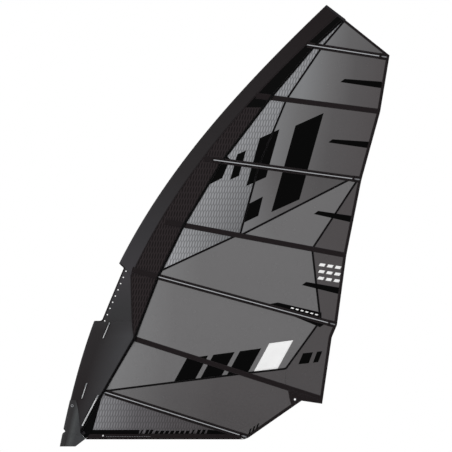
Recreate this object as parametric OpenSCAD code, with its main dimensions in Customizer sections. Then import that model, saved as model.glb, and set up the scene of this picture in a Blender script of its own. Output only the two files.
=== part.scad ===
// Windsurf race sail: mast sleeve, panelled body, full-length battens, camber inducers and tack gear.
// X runs aft from the luff to the clew, Z runs up, and the leeward belly of the sail faces -Y (port).
// The origin is the mast axis at the sleeve's bottom mouth.  Lengths are millimetres.

/* [Sail shape] */
// Draft of the sail near the foot
camber_foot = 130; // [60:5:150]
// Draft of the sail at the head
camber_head = 30; // [10:5:40]
// How far the head of the leech falls off to leeward
twist_head = 140; // [0:10:160]
// Place of the deepest draft, as a share of the chord
draft_place = 0.4; // [0.34:0.01:0.5]
// Thickness of the sailcloth and film
cloth_t = 0.6; // [0.5:0.1:0.8]

/* [Mast sleeve] */
// Nose radius of the sleeve at the tack
sleeve_r_foot = 36; // [34:1:40]
// Nose radius of the sleeve at the head
sleeve_r_head = 21; // [18:1:24]
// Radius of the mast that the sleeve is cut for
mast_r = 24; // [20:0.5:25]
// Thickness of the neoprene tack fairing
fairing_t = 3; // [2:0.5:4]

/* [Battens] */
// Radius of a batten tube
batten_r = 4; // [3:0.5:4.5]
// Distance from the sail to the batten's axis
batten_lift = 8; // [7.5:0.5:9]
// Width of a batten pocket over its sewn flanges
pocket_w = 56; // [44:2:64]
// Travel of a batten as its tensioner is screwed in
tension_travel = 3; // [2:0.5:3.5]

/* [Tack block] */
// Radius of a downhaul sheave
sheave_r = 15; // [12:1:16]
// Width of a downhaul sheave
sheave_w = 8; // [6:1:8]
// Radius of the sheave axle
axle_r = 4; // [3:0.5:5]

/* [Clew] */
// Inner radius of the clew ring
clew_hole_r = 9; // [8:0.5:10]
// Thickness of the clew ring through the sail
clew_ring_t = 7; // [6:1:9]

/* [Hidden] */
$fn = 48;
sail_h = 4240;

// Mast sleeve seam: points [x, z] at the tack, at battens 7 to 1 and at the head.
seam = [[150, 130], [375, 525], [670, 1035], [900, 1630], [1145, 2125], [1515, 2740],
        [1980, 3350], [2400, 3845], [2680, 4106]];
// Leech end of battens 1 to 7.
leech = [[3110, 3735], [3030, 3215], [2850, 2560], [2705, 1835], [2615, 1165], [2480, 455], [1765, 85]];
peak = [3120, 3755];
head = [2520, 4235];
leech_notch = [2565, 1050];
clew = [2472, 410];
clew_low = [2275, 440];
// Front edge of the clew patch, on the foot and below batten 6.
clew_front_low = [2190, 381];
clew_front_high = [2143, 531];
foot_z = 70;
foot_band_z = 158;
tack_patch_foot = [270, 158];
clew_eye = [2212, 452];
// Where the scrim ends and the film starts, as shares of battens 1 to 4.
scrim_share = [0.10, 0.143, 0.262, 0.345];

// Boom cut-out in the luff: lower and upper corners on the nose and on the inner edge.
cut_nose_low = [284, 1206];
cut_in_low = [346, 1206];
cut_in_bend = [371, 1236];
cut_in_top = [570, 1714];
cut_nose_top = [523, 1758];
panel_break = [638, 1640];
head_side_z = 4143;

function mix(a, b, t) = a + (b - a) * t;
function seam_end(n) = seam[8 - n];
function on_batten(n, t) = mix(seam_end(n), leech[n - 1], t);
// Panels stop just short of the batten above them.
edge_gap = 2;
function under(n, t) = on_batten(n, t) - [0, edge_gap];
function at_z(path, z, i = 0) =
    (i >= len(path) - 2 || z <= path[i + 1][1])
        ? mix(path[i][0], path[i + 1][0], (z - path[i][1]) / (path[i + 1][1] - path[i][1]))
        : at_z(path, z, i + 1);
function seam_x(z) = at_z(seam, z);
// Luff curve of the sleeve's nose, a quartic Bezier whose points are evenly spaced in height.
nose_ctrl = [-1.15 * sleeve_r_foot, 174, 457, 1407, 2514];
function nose_x(z) = let (t = z / sail_h, u = 1 - t)
    nose_ctrl[0] * u^4 + 4 * nose_ctrl[1] * u^3 * t + 6 * nose_ctrl[2] * u^2 * t^2
    + 4 * nose_ctrl[3] * u * t^3 + nose_ctrl[4] * t^4;
// Seam between the smooth nose panel and the textured side panel.
side_ctrl = [625, 1215, 2740];
side_z0 = 1600;
function side_x(z) = let (t = (z - side_z0) / (sail_h - side_z0), u = 1 - t)
    side_ctrl[0] * u^2 + 2 * side_ctrl[1] * u * t + side_ctrl[2] * t^2;

// Mid surface of the sail.
function nose_r(z) = mix(sleeve_r_foot, sleeve_r_head, z / sail_h);
function nose_len(z) = nose_r(z) * 1.15;
function mast_x(z) = nose_x(z) + nose_len(z);
function chord_x(z) = 2380 + 0.2 * z;
function draft(z) = mix(camber_foot, camber_head, pow(max(z, 0) / sail_h, 1.5));
function profile(s) = s <= 0 ? 0
    : s < draft_place ? 1 - (1 - s / draft_place)^2
    : 1 - ((s - draft_place) / (1 - draft_place))^2;
function sail_y(x, z) = let (s = (x - mast_x(z)) / (chord_x(z) - mast_x(z)))
    -draft(z) * profile(s) - twist_head * (max(z, 0) / sail_h)^2 * max(s, 0)^2;

// Half thickness of the sleeve: a round nose, then a taper to the seam, with room at battens 6 and 7.
seam_half = 3;
batten_room = 13;
room_len = 75;
tack_room = 22;
tack_room_len = 150;
function hump(z, at, len) = exp(-((z - at) / len)^2);
function room(z) = batten_room * (hump(z, seam_end(6)[1], room_len) + hump(z, seam_end(7)[1], room_len))
                 + tack_room * hump(z, 0, tack_room_len);
function sleeve_half(x, z, inset) = let (
    d = x - nose_x(z) - inset, r = nose_r(z) - inset, a = nose_len(z) - inset,
    c = max(seam_x(z) - nose_x(z), a + 40), tail = seam_half + room(z) - inset)
    d <= 0 ? 0 : d < a ? r * sqrt(1 - (1 - d / a)^2) : max(mix(r, tail, min((d - a) / (c - a), 1)), 0.4);

// A closed shell between two grids of points: the first lies on the -Y side.
module shell(front, back) {
    rows = len(front);
    cols = len(front[0]);
    n = rows * cols;
    function at(i, j) = i * cols + j;
    points = concat([for (row = front) each row], [for (row = back) each row]);
    cells = [for (i = [0 : rows - 2]) for (j = [0 : cols - 2]) [i, j]];
    faces = concat(
        [for (c = cells) [at(c[0], c[1]), at(c[0] + 1, c[1]), at(c[0] + 1, c[1] + 1)]],
        [for (c = cells) [at(c[0], c[1]), at(c[0] + 1, c[1] + 1), at(c[0], c[1] + 1)]],
        [for (c = cells) [n + at(c[0] + 1, c[1] + 1), n + at(c[0] + 1, c[1]), n + at(c[0], c[1])]],
        [for (c = cells) [n + at(c[0], c[1] + 1), n + at(c[0] + 1, c[1] + 1), n + at(c[0], c[1])]],
        [for (j = [0 : cols - 2]) for (f = rim(at(0, j), at(0, j + 1), n)) f],
        [for (j = [0 : cols - 2]) for (f = rim(at(rows - 1, j + 1), at(rows - 1, j), n)) f],
        [for (i = [0 : rows - 2]) for (f = rim(at(i + 1, 0), at(i, 0), n)) f],
        [for (i = [0 : rows - 2]) for (f = rim(at(i, cols - 1), at(i + 1, cols - 1), n)) f]);
    polyhedron(points, faces, convexity = 6);
}
function rim(a, b, n) = [[a, b, n + b], [a, n + b, n + a]];

// Point at share t of a path of [x, z] points, evenly spaced by point.
function along(path, t) = let (s = min(t, 0.99999) * (len(path) - 1), i = floor(s))
    mix(path[i], path[i + 1], s - i);

// The stretch of a path between two shares of it, with n steps.
function part_of(path, t0, t1, n) = [for (i = [0 : n]) along(path, mix(t0, t1, i / n))];

// A cloth panel between a front and an aft path, both read from bottom to top.
// near and far are its two faces' distances from the sail's mid surface, towards +Y.
// A panel between a lower and an upper path, both read from luff to leech, has near and far swapped.
module panel(front, aft, rows, cols, near = -cloth_t / 2, far = cloth_t / 2) {
    grid = [for (i = [0 : rows]) [for (j = [0 : cols])
        mix(along(front, i / rows), along(aft, i / rows), j / cols)]];
    shell([for (row = grid) [for (p = row) [p[0], sail_y(p[0], p[1]) + near, p[1]]]],
          [for (row = grid) [for (p = row) [p[0], sail_y(p[0], p[1]) + far, p[1]]]]);
}

// One half of the sleeve's skin: side -1 is port.  with_nose spaces the columns for the round nose.
// first and last are the shares of the way aft at which its columns start and stop.
module skin(side, front, aft, rows, cols, with_nose, out = 0, t = cloth_t, first = 0, last = 1) {
    function share(j) = mix(first, last, with_nose ? (j / cols)^2.2 : j / cols);
    function spot(i, j, inset) = let (
        p = mix(along(front, i / rows), along(aft, i / rows), share(j)),
        x = p[0] - out * (1 - share(j)) + (with_nose ? (inset + out) * (1 - share(j)) : 0))
        [x, sail_y(x, p[1]) + side * skin_half(x, p[1], inset), p[1]];
    function skin_half(x, z, inset) = let (h = sleeve_half(x + (x < mast_x(z) ? out : 0), z, inset))
        h + (h > 0 ? out : 0);
    outer = [for (i = [0 : rows]) [for (j = [0 : cols]) spot(i, j, 0)]];
    inner = [for (i = [0 : rows]) [for (j = [0 : cols]) spot(i, j, t)]];
    if (side < 0) shell(outer, inner);
    else shell(inner, outer);
}

// Paths on the sail.
function nose_path(z0, z1, n) = [for (i = [0 : n]) let (z = mix(z0, z1, i / n)) [nose_x(z), z]];
function side_path(z0, z1, n) = [for (i = [0 : n]) let (z = mix(z0, z1, i / n)) [side_x(z), z]];
function seam_path(z0, z1, n) = [for (i = [0 : n]) let (z = mix(z0, z1, i / n)) [seam_x(z), z]];
scrim_line = [on_batten(4, scrim_share[3]), on_batten(3, scrim_share[2]), on_batten(2, scrim_share[1]),
              on_batten(1, scrim_share[0]), [2694, 4095]];
// Diagonal seams.
window_front = [930, 1690];
window_corner = on_batten(4, 0.33);
leech_corner_3 = on_batten(3, 0.975);
dark_corner_3 = on_batten(3, 0.93);
leech_corner_4 = on_batten(4, 0.79);
leech_corner_5 = on_batten(5, 0.908);
knee_6 = [2124, 747];
knee_batten = on_batten(6, 0.577);

// ---- Mast sleeve ----
// The upper sleeve is cut in lengths, each with a nose strip and a flank strip sewn edge to edge.
lengths = 6;
nose_share = 0.3;
butt = 0.002;
module sleeve_upper(side) {
    front = nose_path(cut_nose_top[1], head[1], 22);
    aft = concat([panel_break], side_path(1690, head_side_z, 21));
    for (k = [0 : lengths - 1]) {
        f = part_of(front, k / lengths, (k + 1) / lengths - butt, 4);
        a = part_of(aft, k / lengths, (k + 1) / lengths - butt, 4);
        skin(side, f, a, 4, 6, true, last = nose_share - butt);
        skin(side, f, a, 4, 2, false, first = nose_share);
    }
}
module sleeve_lower(side) {
    skin(side, nose_path(130, cut_nose_low[1], 15),
         concat(seam_path(130, 1035, 13), [[658, 1118], [651, 1200]]), 15, 9, true);
    skin(side, [cut_in_low, cut_in_bend, [430, 1380], [500, 1548], cut_in_top - [2, 6]],
         [[652, 1201], [650, 1240], [646, 1350], [640, 1490], panel_break - [6, 6]],
         8, 4, false);
}
module sleeve_side(side) {
    front = concat([[674, 1040], [663, 1118], [656, 1201], [650, 1350], [644, 1490], [642, 1638]],
                   [for (p = side_path(1670, head_side_z, 15)) p + [4, 0]]);
    aft = seam_path(1045, seam[8][1], 21);
    for (k = [0 : lengths - 1])
        skin(side, part_of(front, k / lengths, (k + 1) / lengths - butt, 4),
             part_of(aft, k / lengths, (k + 1) / lengths - butt, 4), 4, 4, false);
}
module sleeve_upper_port() { color("#2e2c2e") sleeve_upper(-1); }
module sleeve_upper_starboard() { color("#2e2c2e") sleeve_upper(1); }
module sleeve_lower_port() { color("#363437") sleeve_lower(-1); }
module sleeve_lower_starboard() { color("#363437") sleeve_lower(1); }
module sleeve_side_port() { color("#242122") sleeve_side(-1); }
module sleeve_side_starboard() { color("#242122") sleeve_side(1); }

head_tilt = atan2(head[1] - peak[1], peak[0] - head[0]);
module on_head_edge(run) {
    x = head[0] + run * cos(head_tilt);
    z = head[1] - run * sin(head_tilt);
    translate([x, sail_y(x, z), z]) rotate([0, head_tilt, 0]) translate([0, 0, 1]) children();
}
module head_cap() {
    color("#1c1b1c")
        hull() {
            on_head_edge(24) cylinder(r = sleeve_r_head + 1, h = 5, $fn = 32);
            on_head_edge(188) cylinder(r = 5, h = 5, $fn = 32);
        }
}

// ---- Tack fairing: neoprene cover round the sleeve's foot ----
module tack_fairing() {
    gap = 1.5;
    for (side = [-1, 1])
        color("#39383a")
            skin(side, nose_path(0, 446, 9),
                 [[105, 0], [202, 74], [152, 130], [149, 180], [146, 230], [139, 290], [130, 350], [120, 400],
                  [112, 430], [105, 446]],
                 9, 8, true, gap + fairing_t, fairing_t);
}

// ---- Body panels ----
half_t = cloth_t / 2;
module head_panel() {
    color("#5b5a5b")
        panel([on_batten(1, 0.10), scrim_line[4]], [peak - [6, 14], peak - [8, 4]], 4, 6);
}
module luff_scrim() {
    color("#8b8b8d") {
        panel([on_batten(1, 0), seam[8]], [on_batten(1, 0.0995), scrim_line[4] - [2, 0]], 4, 1);
        panel([on_batten(2, 0), under(1, 0)], [on_batten(2, 0.1425), under(1, 0.0995)], 4, 3);
        panel([on_batten(3, 0), under(2, 0)], [on_batten(3, 0.2615), under(2, 0.1425)], 4, 5);
        panel([on_batten(4, 0), under(3, 0)], [on_batten(4, 0.3445), under(3, 0.2615)], 4, 6);
    }
}
module upper_film() {
    color("#656464")
        panel([on_batten(2, 0.144), under(1, 0.101)], [on_batten(2, 1), under(1, 1)], 3, 12);
}
module middle_film() {
    color("#636262")
        panel([on_batten(3, 0.263), under(2, 0.144)], [on_batten(3, 1), under(2, 1)], 3, 14);
}
module dark_film() {
    color("#545253")
        panel([on_batten(4, 0.347), under(3, 0.263)],
              [dark_corner_3 - [6, 9], dark_corner_3 - [0, 3]], 4, 12);
}
module window_upper() {
    color("#777778")
        panel([on_batten(4, 0.350), leech_corner_4],
              [dark_corner_3 - [0, 14], leech_corner_3 - [0, edge_gap]], 8, 4, half_t, -half_t);
}
module leech_panel_upper() {
    color("#4c4a4b")
        panel([on_batten(4, 0.793), leech_corner_3 + [3, -edge_gap]], [on_batten(4, 1), under(3, 1)], 3, 3);
}
module scrim_triangle() {
    color("#909092")
        panel([window_front + [3, 10], under(4, 0)], [window_front + [9, 13], window_corner - [3, edge_gap]],
              4, 6);
}
module window_main() {
    color("#7b7b7c")
        panel([on_batten(5, 0), on_batten(5, 0.3), leech_corner_5],
              [window_front, window_corner - [0, 6], leech_corner_4 - [0, edge_gap]], 16, 4, half_t, -half_t);
}
module leech_panel_middle() {
    color("#4c4a4b")
        panel([on_batten(5, 0.910), leech_corner_4 + [3, -edge_gap]], [on_batten(5, 1), under(4, 1)], 3, 3);
}
module window_lower() {
    color("#757575")
        panel([on_batten(6, 0), knee_batten, knee_6],
              [under(5, 0), under(5, 0.45), under(5, 0.905)], 18, 4, half_t, -half_t);
}
module leech_panel_lower() {
    color("#4e4b4c") {
        panel([on_batten(6, 0.583), knee_6 - [2, 8]], [on_batten(6, 0.80), knee_6 - [0, 8]], 2, 4);
        panel([on_batten(6, 0.802), knee_6 + [4, -8], leech_corner_5 + [4, -edge_gap]],
              [on_batten(6, 1), leech_notch, under(5, 1)], 6, 4);
    }
}
module window_foot() {
    color("#707070")
        panel([on_batten(7, 0) + [10, 12], under(6, 0)],
              [on_batten(7, 0) + [20, 12], under(6, 0.574)], 4, 12);
}
module film_foot() {
    color("#585656")
        panel([on_batten(7, 0), on_batten(7, 0.62), on_batten(7, 1), clew_front_low - [3, 0]],
              [on_batten(7, 0) + [24, 8], under(6, 0.578), under(6, 0.7), clew_front_high - [3, 0]],
              18, 4, half_t, -half_t);
}
module foot_scrim() {
    color("#6e6d6d")
        panel([tack_patch_foot + [2, 0], on_batten(7, 0) - [10, 30]],
              [[1500, foot_band_z], on_batten(7, 0) - [4, 28]], 4, 12);
}

// ---- Patches, tapes and small battens on the port face ----
face_near = -cloth_t / 2 - 1.8;
face_far = -cloth_t / 2 - 0.6;
module tack_patch() {
    patch = 2;
    strap = patch + 2.3;
    color("#141314")
        panel([[202, 76], [154, 132], [345, 484]], [[204, 78], [266, 157], [354, 480]], 6, 2, -patch, patch);
    // Webbing from the patch to the downhaul block, sewn to both faces.
    for (near = [-strap, patch + 0.3])
        color("#1b1a1c") panel([[112, 92], [186, 152]], [[126, 70], [203, 126]], 2, 3, near, near + 2);
}
module clew_patch() {
    near = -1.5;
    band = [0, pocket_w / 2 + 3];
    color("#231f20")
        difference() {
            panel([clew_front_low, clew_low, clew],
                  [clew_front_high, on_batten(6, 0.9) - band, on_batten(6, 0.99) - band], 6, 4, 1.5, near);
            clew_axis() cylinder(r = clew_hole_r + 4.2, h = 60, center = true);
        }
}
clew_slope = atan(sail_y(clew_eye[0] + 10, clew_eye[1]) / 10 - sail_y(clew_eye[0], clew_eye[1]) / 10);
module clew_axis() {
    translate([clew_eye[0], sail_y(clew_eye[0], clew_eye[1]), clew_eye[1]])
        rotate([0, 0, clew_slope]) rotate([90, 0, 0]) children();
}
module clew_ring() {
    half = clew_ring_t / 2;
    barrel = clew_hole_r + 3.6;
    rim = clew_hole_r + 8;
    color("silver")
        clew_axis()
            rotate_extrude()
                polygon([[clew_hole_r, -half], [rim, -half], [rim, -half + 1], [barrel, -half + 1.5],
                         [barrel, half - 1.5], [rim, half - 1], [rim, half], [clew_hole_r, half]]);
}
module edge_tapes() {
    w = 19;
    clear = 0.04;
    color("#1f1d1e") {
        panel([peak - [40, 3], [2684, 4076]], [peak - [20, -15], head + [152, -118]], 8, 1,
              face_near, face_far);
        for (n = [1 : 4]) {
            low = mix(leech[n], leech[n - 1], clear);
            high = mix(leech[n], leech[n - 1], 1 - clear);
            panel([low - [w, 0], high - [w, 0]], [low, high], 4, 1, face_near, face_far);
        }
        panel([mix(leech[5], leech_notch, clear) - [w, 0], leech_notch - [w, 0]],
              [mix(leech[5], leech_notch, clear), leech_notch], 3, 1, face_near, face_far);
        panel([leech_notch + [-w, 3], leech[4] - [w, 22]], [leech_notch + [0, 3], leech[4] - [0, 22]], 2, 1,
              face_near, face_far);
        panel([leech[6] + [0, 20], clew_front_low - [24, 4]], [leech[6] + [28, 20], clew_front_low - [4, 4]],
              4, 1, face_near, face_far);
        // Doubled band along the foot.
        panel([[206, foot_z], [270, foot_band_z - 3]], [[1700, foot_z - 5], [1425, foot_band_z - 3]],
              2, 16, -1.2, 1.2);
    }
}
// Each: the batten above it, its share of the leech between two battens, its length and its rise.
mini_places = [[1, 0.49, 420, 29], [2, 0.51, 409, 25], [3, 0.48, 380, 49], [4, 0.49, 379, 57]];
module mini_battens() {
    color("#0f0f10")
        for (m = mini_places) {
            end = mix(leech[m[0]], leech[m[0] - 1], m[1]);
            panel([end + [-m[2], m[3]], end + [-m[2] + 40, m[3] + 30]], [end + [-32, -30], end + [-29, 30]],
                  1, 6, -3.6, face_far);
        }
}

// ---- Battens, pockets and tensioners ----
// Odd battens lie on the port face and even ones on the starboard face.
function batten_side(n) = n % 2 == 1 ? -1 : 1;
housing_len = 58;
rear_gap = 8;
cup_len = 34;
cup_r = 5;
function batten_dir(n) = let (v = leech[n - 1] - seam_end(n)) v / norm(v);
function batten_len(n) = norm(leech[n - 1] - seam_end(n));
// A point on batten n, s millimetres aft of the sleeve seam, before it is lifted off the sail.
function batten_spot(n, s) = let (p = seam_end(n) + batten_dir(n) * s) [p[0], sail_y(p[0], p[1]), p[1]];
function lift_at(n, s) = batten_side(n) * batten_lift * (s >= 0 ? 1 : max(1 + s / 250, 0));
function batten_point(n, s) = batten_spot(n, s) + [0, lift_at(n, s), 0];
// Front end of batten n: battens 6 and 7 run on inside the sleeve to their camber inducers.
function batten_start(n) = n < 6 ? 24 : cam_reach(n) + 62;
function batten_stop(n) = batten_len(n) - rear_gap - housing_len;
// The tensioner's axis: the straight line through the batten's last stretch.
function tail_point(n) = batten_point(n, batten_stop(n));
function tail_dir(n) = let (v = tail_point(n) - batten_point(n, batten_stop(n) - 60)) v / norm(v);

module aim(p, d) {
    translate(p) rotate([0, acos(d[2]), atan2(d[1], d[0])]) children();
}
// Tube with flat ends through a list of points.
module tube(points, r, sides = 8) {
    n = len(points);
    function dir(i) = let (v = points[min(i + 1, n - 1)] - points[max(i - 1, 0)]) v / norm(v);
    function up(d) = cross(d, [0, 1, 0]) / norm(cross(d, [0, 1, 0]));
    function spoke(d, a) = cos(a) * cross(up(d), d) + sin(a) * up(d);
    turn = 360 / sides;
    rings = [for (i = [0 : n - 1]) [for (k = [0 : sides - 1]) points[i] + r * spoke(dir(i), k * turn)]];
    body = [for (i = [0 : n - 2]) for (k = [0 : sides - 1]) let (a = i * sides + k,
        b = i * sides + (k + 1) % sides) each [[a, a + sides, b + sides], [a, b + sides, b]]];
    caps = [[for (k = [0 : sides - 1]) k], [for (k = [sides - 1 : -1 : 0]) (n - 1) * sides + k]];
    polyhedron([for (ring = rings) each ring], concat(body, caps), convexity = 6);
}
module batten(n) {
    steps = 24;
    start = batten_start(n);
    stop = batten_stop(n) - 0.5;
    color("#a9acae") tube([for (i = [0 : steps]) batten_point(n, mix(start, stop, i / steps))], batten_r);
    // Threaded end cup, pushed forward by the tensioner's screw.
    color("#2a2a2c")
        aim(tail_point(n), tail_dir(n))
            difference() {
                cylinder(r = cup_r, h = cup_len);
                translate([0, 0, cup_floor]) cylinder(r = screw_r + 0.05, h = cup_len);
            }
}
screw_r = 2;
screw_head_r = 4.4;
// The screw's collar bears on a wall this far behind the batten's end.
wall_z = 44;
// Its tip starts clear of the cup's floor.
cup_floor = 6;
screw_tip = cup_floor + 5 + tension_travel;
module tensioner_screw(n) {
    color("#c9cbcd")
        aim(tail_point(n), tail_dir(n))
            difference() {
                union() {
                    translate([0, 0, screw_tip]) cylinder(r = screw_r, h = wall_z + 6 - screw_tip);
                    translate([0, 0, wall_z - 2.2]) cylinder(r = 3.4, h = 2);
                    translate([0, 0, wall_z + 5.2]) cylinder(r = screw_head_r, h = 6);
                }
                translate([0, 0, wall_z + 7.5]) cylinder(r = 2, h = 5, $fn = 6);
            }
}
module tensioner_housings() {
    under_t = 6;
    over_t = 7;
    for (n = [1 : 7])
        color("#b5b8bb")
            aim(tail_point(n), tail_dir(n))
                difference() {
                    translate([-9, batten_side(n) < 0 ? -over_t : -under_t, 0.5])
                        cube([18, under_t + over_t, housing_len - 0.5]);
                    translate([0, 0, -1]) cylinder(r = cup_r + 0.3, h = wall_z + 1);
                    cylinder(r = screw_r + 0.2, h = housing_len);
                    translate([0, 0, wall_z + 5]) cylinder(r = screw_head_r + 0.3, h = housing_len);
                }
}
// A pocket: sewn flanges with a raised channel over the batten.
channel_half = 10;
channel_top = 14.4;
skin_t = 0.9;
flange_top = 2.6;
function pocket_section(inner) = let (t = inner ? skin_t : 0, c = channel_half - t, top = channel_top - t,
    base = flange_top - t)
    [[-pocket_w / 2, base], [-c - 1.5, base], [-c * 0.75, top * 0.8], [0, top], [c * 0.75, top * 0.8],
     [c + 1.5, base], [pocket_w / 2, base]];
module pocket(n) {
    steps = 24;
    start = 26;
    stop = batten_stop(n) - 3;
    side = batten_side(n);
    d = batten_dir(n);
    up = [-d[1], d[0]];
    function spot(i, q) = let (p = seam_end(n) + d * mix(start, stop, i / steps) + up * q[0])
        [p[0], sail_y(p[0], p[1]) + side * q[1], p[1]];
    outer = [for (q = pocket_section(false)) [for (i = [0 : steps]) spot(i, q)]];
    inner = [for (q = pocket_section(true)) [for (i = [0 : steps]) spot(i, q)]];
    if (side < 0) shell(outer, inner);
    else shell(inner, outer);
}
module pockets_port() { color("#231f20") for (n = [1 : 2 : 7]) pocket(n); }
module pockets_starboard() { color("#231f20") for (n = [2 : 2 : 6]) pocket(n); }

// ---- Camber inducers inside the sleeve, at battens 6 and 7 ----
// Distance from the seam to the mast axis along the batten's line.
function cam_reach(n, s = 0) =
    batten_spot(n, s)[0] <= mast_x(batten_spot(n, s)[2]) ? s : cam_reach(n, s - 2);
cam_h = 40;
cam_out_r = 32;
cam_in_r = 26.6;
cam_half_w = 28.9;
roller_r = 5;
roller_h = 22;
roller_angle = 52;
pin_r = 1.5;
module cam_frame(n) {
    d = batten_dir(n);
    reach = cam_reach(n);
    here = batten_spot(n, reach);
    ahead = batten_spot(n, reach + 70);
    yaw = atan2(ahead[1] - here[1], 70);
    translate(here) rotate([0, atan2(-d[1], d[0]), 0]) rotate([0, 0, yaw]) children();
}
module at_rollers() {
    for (side = [-1, 1])
        rotate([0, 0, side * roller_angle]) translate([mast_r + 0.4 + roller_r, 0, 0]) children();
}
module camber_inducer(n) {
    color("#9a2f25")
        cam_frame(n) {
            difference() {
                union() {
                    cylinder(r = cam_out_r, h = cam_h, center = true);
                    rotate([0, 90, 0]) cylinder(r = 11, h = 84);
                }
                cylinder(r = cam_in_r, h = cam_h + 2, center = true);
                translate([-80, -50, -50]) cube([78, 100, 100]);
                translate([42, 0, 0]) rotate([0, 90, 0]) cylinder(r = 7.4, h = 60);
                at_rollers() cube([16, 14, roller_h + 1.6], center = true);
                for (side = [-1, 1])
                    translate([0, side * (cam_half_w + 10), 0]) cube([100, 20, cam_h + 2], center = true);
            }
            at_rollers() cylinder(r = pin_r, h = cam_h - 4, center = true);
        }
}
module cam_roller(n, side) {
    color("#e8e8e4")
        cam_frame(n)
            rotate([0, 0, side * roller_angle]) translate([mast_r + 0.4 + roller_r, 0, 0])
                difference() {
                    cylinder(r = roller_r, h = roller_h, center = true);
                    cylinder(r = pin_r + 0.06, h = roller_h + 2, center = true);
                }
}

// ---- Downhaul block at the tack ----
block_at = [74, 0, 40];
block_y = sail_y(block_at[0], block_at[2]);
cheek_t = 3;
sheave_gap = 0.6;
cheek_y = 1.5 * sheave_w + 2 * sheave_gap;
module at_block() { translate([block_at[0], block_y, block_at[2]]) rotate([90, 0, 0]) children(); }
module tack_block() {
    color("#d0d2d4")
        at_block() {
            for (side = [-1, 1])
                translate([0, 0, side * (cheek_y + cheek_t / 2)])
                    difference() {
                        linear_extrude(cheek_t, center = true)
                            hull() {
                                circle(r = 17);
                                translate([26, 36]) circle(r = 8);
                                translate([4, 42]) circle(r = 8);
                            }
                        cylinder(r = axle_r + 0.05, h = 20, center = true);
                    }
            // Bar that the webbing goes round.
            translate([24, 34, 0]) cylinder(r = 4, h = 2 * cheek_y, center = true);
        }
}
module tack_axle() {
    color("#8f9296")
        at_block() {
            cylinder(r = axle_r, h = 2 * (cheek_y + cheek_t) + 0.6, center = true);
            for (side = [-1, 1])
                translate([0, 0, side * (cheek_y + cheek_t + 1.2)])
                    cylinder(r = axle_r + 2.5, h = 2, center = true);
        }
}
module tack_sheave(k) {
    half = sheave_w / 2;
    color("#202124")
        at_block()
            translate([0, 0, (k - 2) * (sheave_w + sheave_gap)])
                rotate_extrude()
                    difference() {
                        translate([axle_r + 0.06, -half]) square([sheave_r - axle_r - 0.06, sheave_w]);
                        translate([sheave_r + 0.8, 0]) circle(r = 3.6);
                    }
}

// ---- Zips on the sleeve's port side ----
// Top and bottom ends of the two inducer zips and of the long tack zip.
zips = [[[433, 1190], [368, 1037]], [[214, 610], [164, 456]], [[324, 494], [168, 196]]];
zip_lift = 5.5;
function zip_end(k, i) = let (p = zips[k - 1][i])
    [p[0], sail_y(p[0], p[1]) - sleeve_half(p[0], p[1], 0) - zip_lift, p[1]];
module zip_frame(k) {
    top = zip_end(k, 0);
    d = (zip_end(k, 1) - top) / norm(zip_end(k, 1) - top);
    translate(top) multmatrix(zip_axes(d)) children();
}
// Local x runs down the zip, local z points out of the sleeve, to port.
function zip_axes(d) = let (side = cross([0, -1, 0], d) / norm(cross([0, -1, 0], d)), out = cross(d, side))
    [[d[0], side[0], out[0], 0], [d[1], side[1], out[1], 0], [d[2], side[2], out[2], 0], [0, 0, 0, 1]];
function zip_len(k) = norm(zip_end(k, 1) - zip_end(k, 0));
module zip_tapes() {
    for (k = [1 : 3])
        zip_frame(k) {
            color("#1b1a1b") translate([0, -12, -1]) cube([zip_len(k), 24, 0.8]);
            color("#d9dadb") translate([0, -2.6, -0.2]) cube([zip_len(k), 5.2, 2]);
        }
}
slider_len = 16;
module zip_slider(k) {
    color("#c4c6c8")
        zip_frame(k)
            translate([4, 0, 0]) {
                difference() {
                    translate([0, -6, 0.2]) cube([slider_len, 12, 4.4]);
                    translate([-1, -3.2, -1]) cube([slider_len + 2, 6.4, 3.4]);
                }
                translate([3, -2.5, 4.6]) cube([30, 5, 1.6]);
            }
}

sleeve_upper_port();
sleeve_upper_starboard();
sleeve_lower_port();
sleeve_lower_starboard();
sleeve_side_port();
sleeve_side_starboard();
head_cap();
tack_fairing();
head_panel();
luff_scrim();
upper_film();
middle_film();
dark_film();
window_upper();
leech_panel_upper();
scrim_triangle();
window_main();
leech_panel_middle();
window_lower();
leech_panel_lower();
window_foot();
film_foot();
foot_scrim();
tack_patch();
clew_patch();
clew_ring();
edge_tapes();
mini_battens();
pockets_port();
pockets_starboard();
batten(1);  // batten_1
batten(2);  // batten_2
batten(3);  // batten_3
batten(4);  // batten_4
batten(5);  // batten_5
batten(6);  // batten_6
batten(7);  // batten_7
tensioner_housings();
tensioner_screw(1);  // tensioner_screw_1
tensioner_screw(2);  // tensioner_screw_2
tensioner_screw(3);  // tensioner_screw_3
tensioner_screw(4);  // tensioner_screw_4
tensioner_screw(5);  // tensioner_screw_5
tensioner_screw(6);  // tensioner_screw_6
tensioner_screw(7);  // tensioner_screw_7
camber_inducer(6);  // camber_inducer_6
camber_inducer(7);  // camber_inducer_7
cam_roller(6, -1);  // cam_6_roller_port
cam_roller(6, 1);  // cam_6_roller_starboard
cam_roller(7, -1);  // cam_7_roller_port
cam_roller(7, 1);  // cam_7_roller_starboard
tack_block();
tack_axle();
tack_sheave(1);  // tack_sheave_1
tack_sheave(2);  // tack_sheave_2
tack_sheave(3);  // tack_sheave_3
zip_tapes();
zip_slider(1);  // zip_slider_1
zip_slider(2);  // zip_slider_2
zip_slider(3);  // zip_slider_3
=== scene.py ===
"""Looks of a windsurf race sail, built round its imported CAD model.

Metres throughout.  X runs aft, Z runs up and the port face, which the camera sees, looks towards -Y.
"""

import math

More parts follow.
